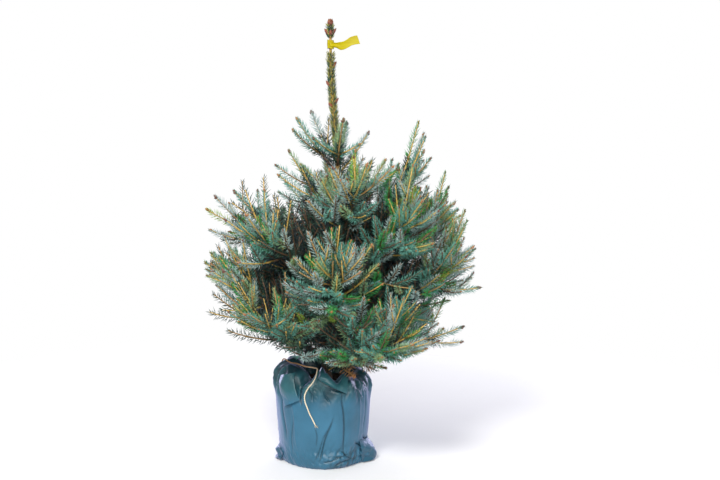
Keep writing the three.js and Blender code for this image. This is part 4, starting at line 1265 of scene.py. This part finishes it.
def grow_shoots():
    """The shoots of every mass, from the planned ones down to the finest twigs."""
    rng = np.random.default_rng(21)
    shoots = []
    for n, b in enumerate(boughs):
        shoots.append(Shoot(n, b.at, b.bare + 0.0003 if b.bare else 0.006, b.length, TIP, 0))
        planned = [(*spur, SIDE) for spur in b.spurs]
        planned += [(*strong, STRONG) for name, *strong in STRONG_SHOOTS if name == b.name]
        at = b.length - NEWEST_GROWTH + SPUR_STEP / 2
        while b.whorl != "top" and at > max(b.bare + 0.006, 0.030):
            count = 1 if b.whorl == "high" else 2 + int(rng.random() < 0.4)
            for roll in rng.choice(WEAK_ROLLS, count, replace=False):
                length = 0.074 + 0.66 * (b.length - at) * rng.uniform(0.5, 1.15)
                planned.append((at, rng.uniform(*WEAK_FORK), roll + rng.uniform(-18, 18), length, WEAK))
            at -= SPUR_STEP / 2
        step = INNER_STEP if b.whorl in ("low", "broad") else INNER_STEP_HIGH
        for at in np.arange(b.bare - 0.004, 0.022, -step) if b.bare else ():
            roll = rng.uniform(0, 360)
            planned.append((at, rng.uniform(*INNER_FORK), roll, rng.uniform(*INNER_LENGTH), INNER))
        for at, fork, roll, length, order in planned:
            path = side_path(b.at, at, fork, roll, length)
            interleaved = order in (INNER, STRONG) or (order == WEAK and rng.random() < INTERLEAVED_SHARE)
            right = math.cos(math.radians(b.turn)) > 0
            strong = STRONG_OVER if order == WEAK and right and rng.random() < STRONG_SHARE else 0.0
            over = rng.uniform(-0.09, 0.012) + strong if order in (WEAK, INNER) else None
            end = fitted(n, path, length, interleaved, over)
            if end <= (SHOOT_LEAST if order == SIDE else TWIG_LEAST):
                continue
            if order in (WEAK, INNER) and through_hollow(path, end) and rng.random() < HOLLOW_CLEARED:
                continue
            order = WEAK if order == STRONG else order
            shoots.append(Shoot(n, path, 0.0, end, order, b.length - at))
            side, d = 1, end - (0.060 if order < INNER else 0.036)
            while d > 0.014 and b.whorl not in ("top", "high"):
                twig = 0.030 + 0.52 * (end - d) * rng.uniform(0.75, 1.2)
                roll2 = rng.uniform(-32, 32) + (0 if side > 0 else 180) + (60 * side if rng.random() < 0.3 else 0)
                twig_path = side_path(path, d, rng.uniform(*TWIG_FORK), roll2, twig)
                reach = fitted(n, twig_path, twig, interleaved, rng.uniform(-0.06, 0.012))
                if reach > TWIG_LEAST and not through_hollow(twig_path, reach):
                    kind = INNER_TWIG if order == INNER else TWIG
                    shoots.append(Shoot(n, twig_path, 0.0, reach, kind, b.length - at + end - d))
                side, d = -side, d - TWIG_STEP * (0.68 if order < INNER else 0.5)
    return shoots


shoots = grow_shoots()

WOODS = {
    "gold": (0.62, 0.40, 0.095),
    "tan": (0.44, 0.26, 0.09),
    "brown": (0.13, 0.075, 0.04),
}


STEM_SIDES = 5
GOLD_SHARE = 0.72  # of the young wood; the rest is tan
YOUNG_WOOD = 0.12  # the newest wood reaches this far back from the bud
OLD_FROM = 0.22  # side shoots this far in from the bough's tip are all brown


def stem_radius(shoot, d):
    left = shoot.end - d
    if shoot.order == TIP:
        return np.minimum(0.0036, 0.0014 + 0.011 * left)
    return 0.0013 + 0.010 * np.minimum(left, 0.12)


def make_stems():
    """Five-sided stems, dealt out by the age of their wood."""
    rng = np.random.default_rng(4)
    parts = {wood: ([], [], 0) for wood in WOODS}
    for shoot in shoots:
        spans = [("gold" if rng.random() < GOLD_SHARE else "tan", max(shoot.start, shoot.end - YOUNG_WOOD), shoot.end)]
        if spans[0][1] > shoot.start:
            spans.append(("brown", shoot.start, spans[0][1] + 0.002))
        if shoot.order > TWIG or (shoot.age > OLD_FROM and shoot.order > SIDE):
            spans = [("brown", shoot.start, shoot.end)]
        for wood, low, high in spans:
            d = np.linspace(low, high, max(3, int((high - low) / 0.020)))
            points = shoot.path(d)
            _, u, v = frames_along(points)
            r = stem_radius(shoot, d)
            a = np.arange(STEM_SIDES) * 2 * math.pi / STEM_SIDES
            x, y = (r[:, None] * np.cos(a))[..., None], (r[:, None] * np.sin(a))[..., None]
            ring = points[:, None] + x * u[:, None] + y * v[:, None]
            pts, faces, first = parts[wood]
            pts.append(ring.reshape(-1, 3))
            faces += tube_faces(len(d), STEM_SIDES, first)
            parts[wood] = (pts, faces, first + ring.shape[0] * STEM_SIDES)
    return {wood: (np.vstack(p), f) for wood, (p, f, _) in parts.items()}


def wood_finish(name, colour):
    """Young spruce wood: smooth, ridged by the pegs of its needles."""
    material = plain_finish(name, colour, 0.6)
    n = Nodes(material.node_tree)
    pegs = n.cloud(n.place(), 420.0, 2.0)
    # Darker between the pegs and lighter on their crests: painted shade and painted highlight.
    between, crests = tuple(c * 0.55 for c in colour), tuple(min(1, c * 1.25) for c in colour)
    n.surface(n.ramp(pegs, ((0.32, between), (0.62, crests))), pegs, 0.6, 0.0006)
    return material


masses = [f"foliage_{b.name}" for b in boughs]
for wood, (points, faces) in make_stems().items():
    stems = mesh_piece(f"stems_{wood}", points, faces, wood_finish(f"{wood} wood", WOODS[wood]), "bark")
    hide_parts(*masses)

# --- Needles ---------------------------------------------------------------------------------------------
# Stiff needles 15 to 24 mm long stand all round every shoot on small pegs, fewer along its upper side, where
# the wood shows, and shorter and closer towards the bud. Each spray has one colour, from blue-grey to green.
# Dark colours are painted shade: near-black and dark green on the sprays deep in the crown and in its hollows,
# and on the older growth at the back of each shoot, where they are partly the older needles' own darker green.
NEEDLE_LENGTH = 0.0185
INNER_NEEDLE_LENGTH = 0.0215
NEEDLE_R = 0.00100
INNER_NEEDLE_R = 0.00125
NEEDLES_PER_METRE = 1130
INNER_PER_METRE = 560
KIND_CROWD = (1.1, 1.0, 1.0, 0.95, 0.7, 0.7)  # how crowded they stand on each kind of shoot
TOP_CROWD = 1.3  # and on the top whorl
NEEDLE_LEAN, INNER_NEEDLE_LEAN = 58, 62  # degrees from the stem
LEAN_TO_BUD = 30  # by which they close in towards the bud
PARTED_SHARE = 0.4  # of the shoots show their wood on the light side
AGED_SHADE_SHARE = 0.45
GOLDEN_ANGLE = math.radians(137.5)
OLD_GROWTH = 0.075
INNER_COLOURS = ("deep", "shade", "dry")
# deep and shade are painted shade, dealt to the sprays in the crown's core and hollows, at the foot, lower down and on
# the left; shade is also the darker green of older needles.
NEEDLE_COLOURS = {
    "blue_grey": (0.345, 0.480, 0.455),
    "blue_green": (0.120, 0.350, 0.275),
    "grey_green": (0.240, 0.390, 0.195),
    "green": (0.040, 0.290, 0.065),
    "deep": (0.012, 0.030, 0.034),
    "fresh": (0.270, 0.420, 0.050),
    "dry": (0.330, 0.170, 0.065),
    "olive": (0.300, 0.290, 0.060),
    "shade": (0.034, 0.088, 0.060),
}
PIECE_NEEDLES = 33000
LOW_Z = 0.31  # the inner needles below this are partly dry


def needle_mesh(foot, out, length, bend, radius=NEEDLE_R):
    """Closed needles of six faces: a root, a ring of three at the thickest place, and a tip."""
    lead = unit(out)
    cross = unit(np.cross(lead, UP + 0.01))
    third = np.cross(lead, cross)
    middle = foot + lead * (length * 0.42)[:, None] + bend * 0.18 * length[:, None]
    tip = foot + lead * length[:, None] + bend * length[:, None]
    ring = [
        middle + radius * (math.cos(a) * cross + math.sin(a) * third) for a in (0.0, 2 * math.pi / 3, 4 * math.pi / 3)
    ]
    points = np.stack([foot, *ring, tip], 1).reshape(-1, 3)
    pattern = np.array([(1, 2, 4), (2, 3, 4), (3, 1, 4), (2, 1, 0), (3, 2, 0), (1, 3, 0)])
    faces = (np.arange(len(foot))[:, None, None] * 5 + pattern).reshape(-1, 3)
    return points, faces


def shoot_needles(shoot, rng, density):
    """Feet, directions, lengths and bends of the needles of one shoot."""
    span = shoot.end - shoot.start
    count = int(span * density)
    i = np.arange(count)
    d = shoot.start + (i + rng.uniform(0, 1, count)) / count * span
    roll = i * GOLDEN_ANGLE + rng.normal(0, 0.25, count)
    way = shoot.way(d)
    aside = unit(np.cross(way, UP))
    above = np.cross(aside, way)
    left = shoot.end - d
    near_tip = 1 - rising(left, 0.0, 0.032)
    out = aside * np.cos(roll)[:, None] + above * np.sin(roll)[:, None]
    here = shoot.path(d)
    light = unit(unit((here - trunk_centre(np.clip(here[:, 2], FOOT_Z, TIP_Z))) * (1, 1, 0)) + 0.6 * UP)
    light = unit(light - way * np.einsum("ij,ij->i", light, way)[:, None])
    upper = np.einsum("ij,ij->i", out, light) > 0.62
    parted = 0.20 if rng.random() < PARTED_SHARE else 0.9
    keep = ~upper | (rng.random(count) < parted + 0.6 * near_tip)
    fine = shoot.colour not in INNER_COLOURS
    lean = np.radians((NEEDLE_LEAN if fine else INNER_NEEDLE_LEAN) - LEAN_TO_BUD * near_tip + rng.normal(0, 6, count))
    lead = way * np.cos(lean)[:, None] + out * np.sin(lean)[:, None]
    foot = shoot.path(d) + out * (stem_radius(shoot, d) * 0.35)[:, None]
    length = (NEEDLE_LENGTH if fine else INNER_NEEDLE_LENGTH) * rng.uniform(0.82, 1.12, count)
    length = length * (1 - 0.42 * near_tip) * (1 - 0.25 * upper)
    bend = way * 0.12 + UP * 0.05
    return [column[keep] for column in (foot, lead, length, bend, left > OLD_GROWTH)]


def spray_colour(shoot, rng):
    """A spray's colour: blues and greens outside; near-black and dark green inside and in the hollows, painted shade;
    partly dry at the foot.
    """
    b = boughs[shoot.mass]
    chance = rng.random()
    tip = shoot.path(np.array([shoot.end]))[0]
    if b.whorl == "foot":
        return "dry" if chance < 0.5 else "green" if chance < 0.65 else "shade" if chance < 0.8 else "olive"
    if in_hollow(tip):
        return "deep"
    if in_shade(tip):
        return "dry" if tip[2] < LOW_Z and chance < 0.3 else "deep" if chance < 0.6 else "shade"
    if shoot.order > TWIG and tip[2] < LOW_Z:
        return "dry" if chance < 0.5 else "shade"
    chance = rng.random()
    side = math.cos(math.radians(b.turn))
    lower = 1 - float(rising(tip[2], 0.32, 0.50))
    # The blue-grey share falls and the shade share grows on the left and lower down: painted shade.
    blue = 0.255 + 0.04 * side - 0.08 * lower
    for name, share in (
        ("blue_grey", blue),
        ("blue_green", 0.28),
        ("shade", 0.16 - 0.12 * side + 0.10 * lower),
        ("grey_green", 0.11 + 0.05 * lower),
        ("green", 0.14 + 0.08 * side + 0.03 * lower),
        ("fresh", 0.02 if shoot.order else 0),
    ):
        if chance < share:
            return name
        chance -= share
    return "blue_green"


def clear_needles(foot, lead, length, bend, old):
    """Drops needles that would run into the trunk or the film."""
    tip = foot + lead * length[:, None]
    middle = trunk_centre(np.clip(tip[:, 2], FOOT_Z, TIP_Z))
    good = np.linalg.norm(tip - middle, axis=1) > trunk_radius(middle[:, 2]) + 0.001
    near = np.hypot(tip[:, 0], tip[:, 1]) < BAG_TOP_R + 0.010
    good &= ~near | (tip[:, 2] > bag_rim(np.degrees(np.arctan2(tip[:, 1], tip[:, 0]))) + 0.002)
    return [column[good] for column in (foot, lead, length, bend, old)]


def make_needles():
    rng = np.random.default_rng(8)
    dealt = {name: [] for name in NEEDLE_COLOURS}
    for shoot in shoots:
        shoot.colour = spray_colour(shoot, rng)
        crowd = INNER_PER_METRE if shoot.colour in INNER_COLOURS else NEEDLES_PER_METRE
        density = crowd * KIND_CROWD[shoot.order]
        if boughs[shoot.mass].whorl == "top":
            density *= TOP_CROWD
        made = clear_needles(*shoot_needles(shoot, rng, density))
        *columns, old = made
        # Needles on the older growth take a darker colour: partly the older needles' own darker green, partly painted
        # shade.
        aged_and_shaded = "shade" if rng.random() < AGED_SHADE_SHARE or shoot.colour == "dry" else "deep"
        for colour, some in ((shoot.colour, ~old), (aged_and_shaded, old)):
            if some.any():
                dealt[colour].append([column[some] for column in columns])
    return {name: [np.concatenate(column) for column in zip(*rows)] for name, rows in dealt.items() if rows}


needle_looks = {
    name: plain_finish(f"{name} needles", colour, 0.46, Specular_IOR_Level=0.45)
    for name, colour in NEEDLE_COLOURS.items()
}
for name, columns in make_needles().items():
    count = len(columns[0])
    parts = max(1, math.ceil(count / PIECE_NEEDLES))
    for part in range(parts):
        some = slice(part * count // parts, (part + 1) * count // parts)
        radius = INNER_NEEDLE_R if name in INNER_COLOURS else NEEDLE_R
        points, faces = needle_mesh(*(column[some] for column in columns), radius)
        needles = mesh_piece(f"needles_{name}_{part + 1}", points, faces, needle_looks[name], "needles")
        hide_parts(*masses)

# --- Buds ------------------------------------------------------------------------------------------------
# Every shoot ends in an egg-shaped bud wrapped in papery orange-brown scales, with a smaller one or two beside
# it that will be next year's side shoots.
BUD_COLOURS = {"orange": (0.36, 0.16, 0.06), "rust": (0.17, 0.065, 0.040)}
BUD_SIDES = 5
BUD_SIZES = (1.25, 1.1, 0.88, 0.78)  # by the kind of shoot
SIDE_BUDS = (3, 1, 1, 0)


def bud_mesh(place, way, length, radius):
    """A scaly bud: rings of five that swell and close, each ring's corners standing out by turns."""
    side = unit(np.cross(way, (0.3, 0.5, 0.8)))
    third = np.cross(way, side)
    rings = ((0.0, 0.6), (0.30, 1.0), (0.66, 0.72), (1.0, 0.10))
    points = []
    for step, (share, swell) in enumerate(rings):
        for k in range(BUD_SIDES):
            a = (k + 0.5 * (step % 2)) * 2 * math.pi / BUD_SIDES
            r = radius * swell * (1.10 if k % 2 else 0.92)
            points.append(place + way * length * share + r * (math.cos(a) * side + math.sin(a) * third))
    return np.array(points), len(rings)


def make_buds():
    rng = np.random.default_rng(31)
    dealt = {name: ([], [], 0) for name in BUD_COLOURS}
    for shoot in shoots:
        if shoot.order > TWIG or shoot.colour in ("deep", "shade"):
            continue
        d = np.array([shoot.end])
        tip, way = shoot.path(d)[0], shoot.way(d)[0]
        size = BUD_SIZES[shoot.order]
        buds = [(tip - way * 0.001, way, 0.0085 * size, 0.0032 * size)]
        for _ in range(SIDE_BUDS[shoot.order]):
            lean = unit(way + 0.9 * unit(rng.normal(0, 1, 3)))
            buds.append((tip - way * 0.003, lean, 0.0062 * size, 0.0024 * size))
        name = "orange" if rng.random() < 0.6 else "rust"
        points, faces, first = dealt[name]
        for place, lead, length, radius in buds:
            made, rings = bud_mesh(place, lead, length, radius)
            points.append(made)
            faces += tube_faces(rings, BUD_SIDES, first)
            first += len(made)
        dealt[name] = (points, faces, first)
    return {name: (np.vstack(p), f) for name, (p, f, _) in dealt.items()}


for name, (points, faces) in make_buds().items():
    look = wood_finish(f"{name} bud scales", BUD_COLOURS[name])
    buds = mesh_piece(f"buds_{name}", points, faces, look, "bark")
    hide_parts(*masses)

# --- Leader needles --------------------------------------------------------------------------------------
# The needles of the leader are short and stiff and lie close along it, pointing up. A ring of buds stands
# under the end bud, and single buds sit here and there below.
LEADER_FIRST_Z = 0.792
LEADER_LAST_Z = 1.128
RIBBON_Z = 1.085
RIBBON_WIDTH = 0.023
LEADER_NEEDLES = 1350
LEADER_BUDS = (
    # height, turn, length
    (1.110, 170, 0.020), (1.108, 275, 0.018), (1.111, 10, 0.020), (1.109, 75, 0.018),
    (1.132, 20, 0.018), (1.132, 150, 0.018), (1.132, 265, 0.018),
    (1.028, 0, 0.0185), (0.979, 185, 0.0185), (0.936, 355, 0.018), (0.925, 210, 0.017), (0.870, 100, 0.017),
)


def leader_needles():
    rng = np.random.default_rng(17)
    count = LEADER_NEEDLES
    i = np.arange(count)
    z = LEADER_FIRST_Z + (LEADER_LAST_Z - LEADER_FIRST_Z) * (i + rng.uniform(0, 1, count)) / count
    turn = i * GOLDEN_ANGLE + rng.normal(0, 0.2, count)
    centre = trunk_centre(z)
    way = unit(trunk_centre(z + 0.002) - trunk_centre(z - 0.002))
    out = np.stack([np.cos(turn), np.sin(turn), 0 * z], 1)
    lean = np.radians(rng.normal(42, 8, count))
    lead = way * np.cos(lean)[:, None] + out * np.sin(lean)[:, None]
    length = rng.uniform(0.0160, 0.0215, count)
    tips = z + length * 0.9
    bound = (tips > RIBBON_Z - RIBBON_WIDTH / 2 + 0.0005) & (z < RIBBON_Z + RIBBON_WIDTH / 2 + 0.001)
    foot = centre + out * (trunk_radius(z) * 0.7)[:, None]
    return [column[~bound] for column in (foot, lead, length, -out * 0.12)]


columns = leader_needles()
half = len(columns[0]) // 2
order = np.random.default_rng(2).permutation(len(columns[0]))
for name, some in (("shade", order[:half]), ("olive", order[half:])):
    points, faces = needle_mesh(*(column[some] for column in columns))
    needles = mesh_piece(f"leader_needles_{name}", points, faces, needle_looks[name], "needles")
    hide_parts("leader_needles")


def leader_buds():
    """The ring of buds round the end bud, and the single ones down the leader."""
    points, faces, first = [], [], 0
    for z, turn, length in LEADER_BUDS:
        steep = 6.0 if z > 1.12 else 1.1
        way = unit(np.array([math.cos(math.radians(turn)), math.sin(math.radians(turn)), steep]))
        out = np.array([math.cos(math.radians(turn)), math.sin(math.radians(turn)), 0])
        place = trunk_centre(z) + out * float(trunk_radius(z)) * 0.7
        made, rings = bud_mesh(place, way, length, 0.30 * length)
        points.append(made)
        faces += tube_faces(rings, BUD_SIDES, first)
        first += len(made)
    return np.vstack(points), faces


buds = mesh_piece("leader_buds", *leader_buds(), wood_finish("leader bud scales", (0.24, 0.070, 0.040)), "bark")
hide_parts("leader_needles")

# --- Label ribbon ----------------------------------------------------------------------------------------
# A strip of bright yellow plastic ribbon, 23 mm wide. It is passed once round the leader, pinched where it
# crosses itself, and its free tail stands out to the right in a wave. It is bare of any print.
RIBBON_THICK = 0.00035
RIBBON_R = 0.0082
RIBBON_TAIL = 0.066
RIBBON_TURN = math.radians(-12)
RIBBON_LOOP = 0.44  # share of its length that goes round the leader
RIBBON_LIFT, RIBBON_SAG = 0.011, 0.0045
RIBBON_STEPS, RIBBON_ROWS = 170, 12


def ribbon_place(share, across):
    """A point of the ribbon at a share of its length and a place across it, from -1 to 1."""
    centre = trunk_centre(RIBBON_Z)
    along = np.array([math.cos(RIBBON_TURN), math.sin(RIBBON_TURN), 0])
    aside = np.array([-along[1], along[0], 0])
    if share < RIBBON_LOOP:
        t = share / RIBBON_LOOP
        turn = RIBBON_TURN - math.pi / 2 - 2 * math.pi * t
        out = np.array([math.cos(turn), math.sin(turn), 0])
        pinch = 1 - 0.12 * math.exp(-(((t - 1) / 0.12) ** 2)) - 0.12 * math.exp(-((t / 0.12) ** 2))
        r = RIBBON_R + 0.0004 * t + 0.0003 * math.sin(across * 5 + t * 8)
        return centre + out * r + UP * (across * RIBBON_WIDTH / 2 * pinch + 0.0008 * math.sin(6 * t))
    t = (share - RIBBON_LOOP) / (1 - RIBBON_LOOP)
    hang = math.sin(math.pi * min(1, t / 0.7))
    lean = 0.34 * float(rising(np.array(t), 0.25, 1))
    pinch = 1 - 0.42 * math.exp(-(((t - 0.10) / 0.13) ** 2)) - 0.10 * math.sin(math.pi * t)
    pleat = 0.0016 * math.sin(across * 4.4) * math.exp(-((t - 0.08) / 0.22) ** 2)
    off = RIBBON_R * (1 - float(rising(np.array(t), 0, 0.16))) + 0.006 * math.sin(math.pi * t)
    middle = centre + along * (0.0012 + RIBBON_TAIL * t + 0.0066 * min(1, t * 6)) - aside * off
    middle = middle + UP * (RIBBON_LIFT * float(rising(np.array(t), 0.3, 1)) - RIBBON_SAG * hang)
    tall = -along * math.sin(lean) + UP * math.cos(lean)
    return middle + tall * across * RIBBON_WIDTH / 2 * pinch + aside * (pleat - 0.0012 * across * across * t)


def shape_ribbon():
    select_none()
    bpy.ops.mesh.primitive_grid_add(x_subdivisions=RIBBON_STEPS, y_subdivisions=RIBBON_ROWS, size=1)
    ribbon = bpy.context.object
    ribbon.name = ribbon.data.name = "ribbon_label"
    p = read_points(ribbon)
    write_points(ribbon, [ribbon_place(x + 0.5, y * 2) for x, y, _ in p])
    film = ribbon.modifiers.new("film", "SOLIDIFY")
    film.thickness = RIBBON_THICK
    film.offset = 0
    bpy.ops.object.modifier_apply(modifier=film.name)
    return ribbon


def ribbon_finish():
    """Yellow plastic ribbon: even, slightly glossy, with faint stretch lines along it."""
    material = plain_finish("yellow ribbon", (0.66, 0.54, 0.006), 0.45, Specular_IOR_Level=0.2)
    n = Nodes(material.node_tree)
    lines = n.cloud(n.stretched(n.place(), (30, 30, 900)), 1.0, 2.0)
    n.surface(n.ramp(lines, ((0.3, (0.36, 0.29, 0.002)), (0.7, (0.48, 0.41, 0.004)))), lines, 0.3, 0.0003)
    return material


ribbon = shape_ribbon()
finish_piece(ribbon, ribbon_finish())
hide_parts("label_ribbon")

# --- Studio ----------------------------------------------------------------------------------------------
# A pale floor that melts into an even white surround, and soft boxes: the main one in front on the left, a
# fill in front on the right, a cool one behind on each side that draws the film's edges, and one high behind.
bpy.ops.mesh.primitive_circle_add(vertices=96, radius=6, fill_type="NGON", location=(0, 0, 0))
floor = bpy.context.object
floor.name = "floor"


def floor_finish():
    """White paper that melts into the surround away from the tree."""
    material = plain_finish("floor paper", (0.93, 0.93, 0.935), 0.8, Specular_IOR_Level=0.1)
    n = Nodes(material.node_tree)
    shader = material.node_tree.nodes["Principled BSDF"]
    place = n.add("ShaderNodeTexCoord").outputs["Object"]
    away = n.add("ShaderNodeVectorMath", {0: place}, operation="LENGTH").outputs["Value"]
    fading = {"Value": away, "From Min": 0.35, "From Max": 1.6, "To Min": 1.0, "To Max": 0.0}
    n.tree.links.new(n.add("ShaderNodeMapRange", fading).outputs[0], shader.inputs["Alpha"])
    return material


floor.data.materials.append(floor_finish())

SOFT_BOXES = (
    # place, aim, size, power, colour
    ((-1.0, -2.8, 2.9), (0, 0, 0.55), 0.9, 124, (1.0, 0.98, 0.95)),
    ((0.6, -3.1, 1.3), (0, 0, 0.55), 1.0, 54, (1.0, 1.0, 1.0)),
    ((-1.5, 1.7, 0.5), (0, 0, 0.15), 0.9, 24, (0.72, 0.70, 1.0)),
    ((1.5, 1.7, 0.5), (0, 0, 0.15), 0.9, 24, (0.72, 0.70, 1.0)),
    ((0.2, 2.4, 2.6), (0, 0, 0.6), 1.4, 30, (1.0, 1.0, 1.0)),
)
for place, aim, size, power, colour in SOFT_BOXES:
    bpy.ops.object.light_add(type="AREA", location=place)
    light = bpy.context.object
    light.rotation_euler = (Vector(aim) - Vector(place)).to_track_quat("-Z", "Y").to_euler()
    light.data.size = size
    light.data.energy = power
    light.data.color = colour
    light.visible_camera = False

surround = bpy.data.worlds.new("white surround")
surround.use_nodes = True
n = Nodes(surround.node_tree)
sky = surround.node_tree.nodes["Background"]
seen = n.add("ShaderNodeLightPath").outputs["Is Camera Ray"]
strength = n.add("ShaderNodeMapRange", {"Value": seen, "To Min": 0.30, "To Max": 1.0})
n.tree.links.new(strength.outputs[0], sky.inputs["Strength"])
sky.inputs["Color"].default_value = (1, 1, 1, 1)
bpy.context.scene.world = surround
bpy.context.scene.view_settings.view_transform = "Standard"
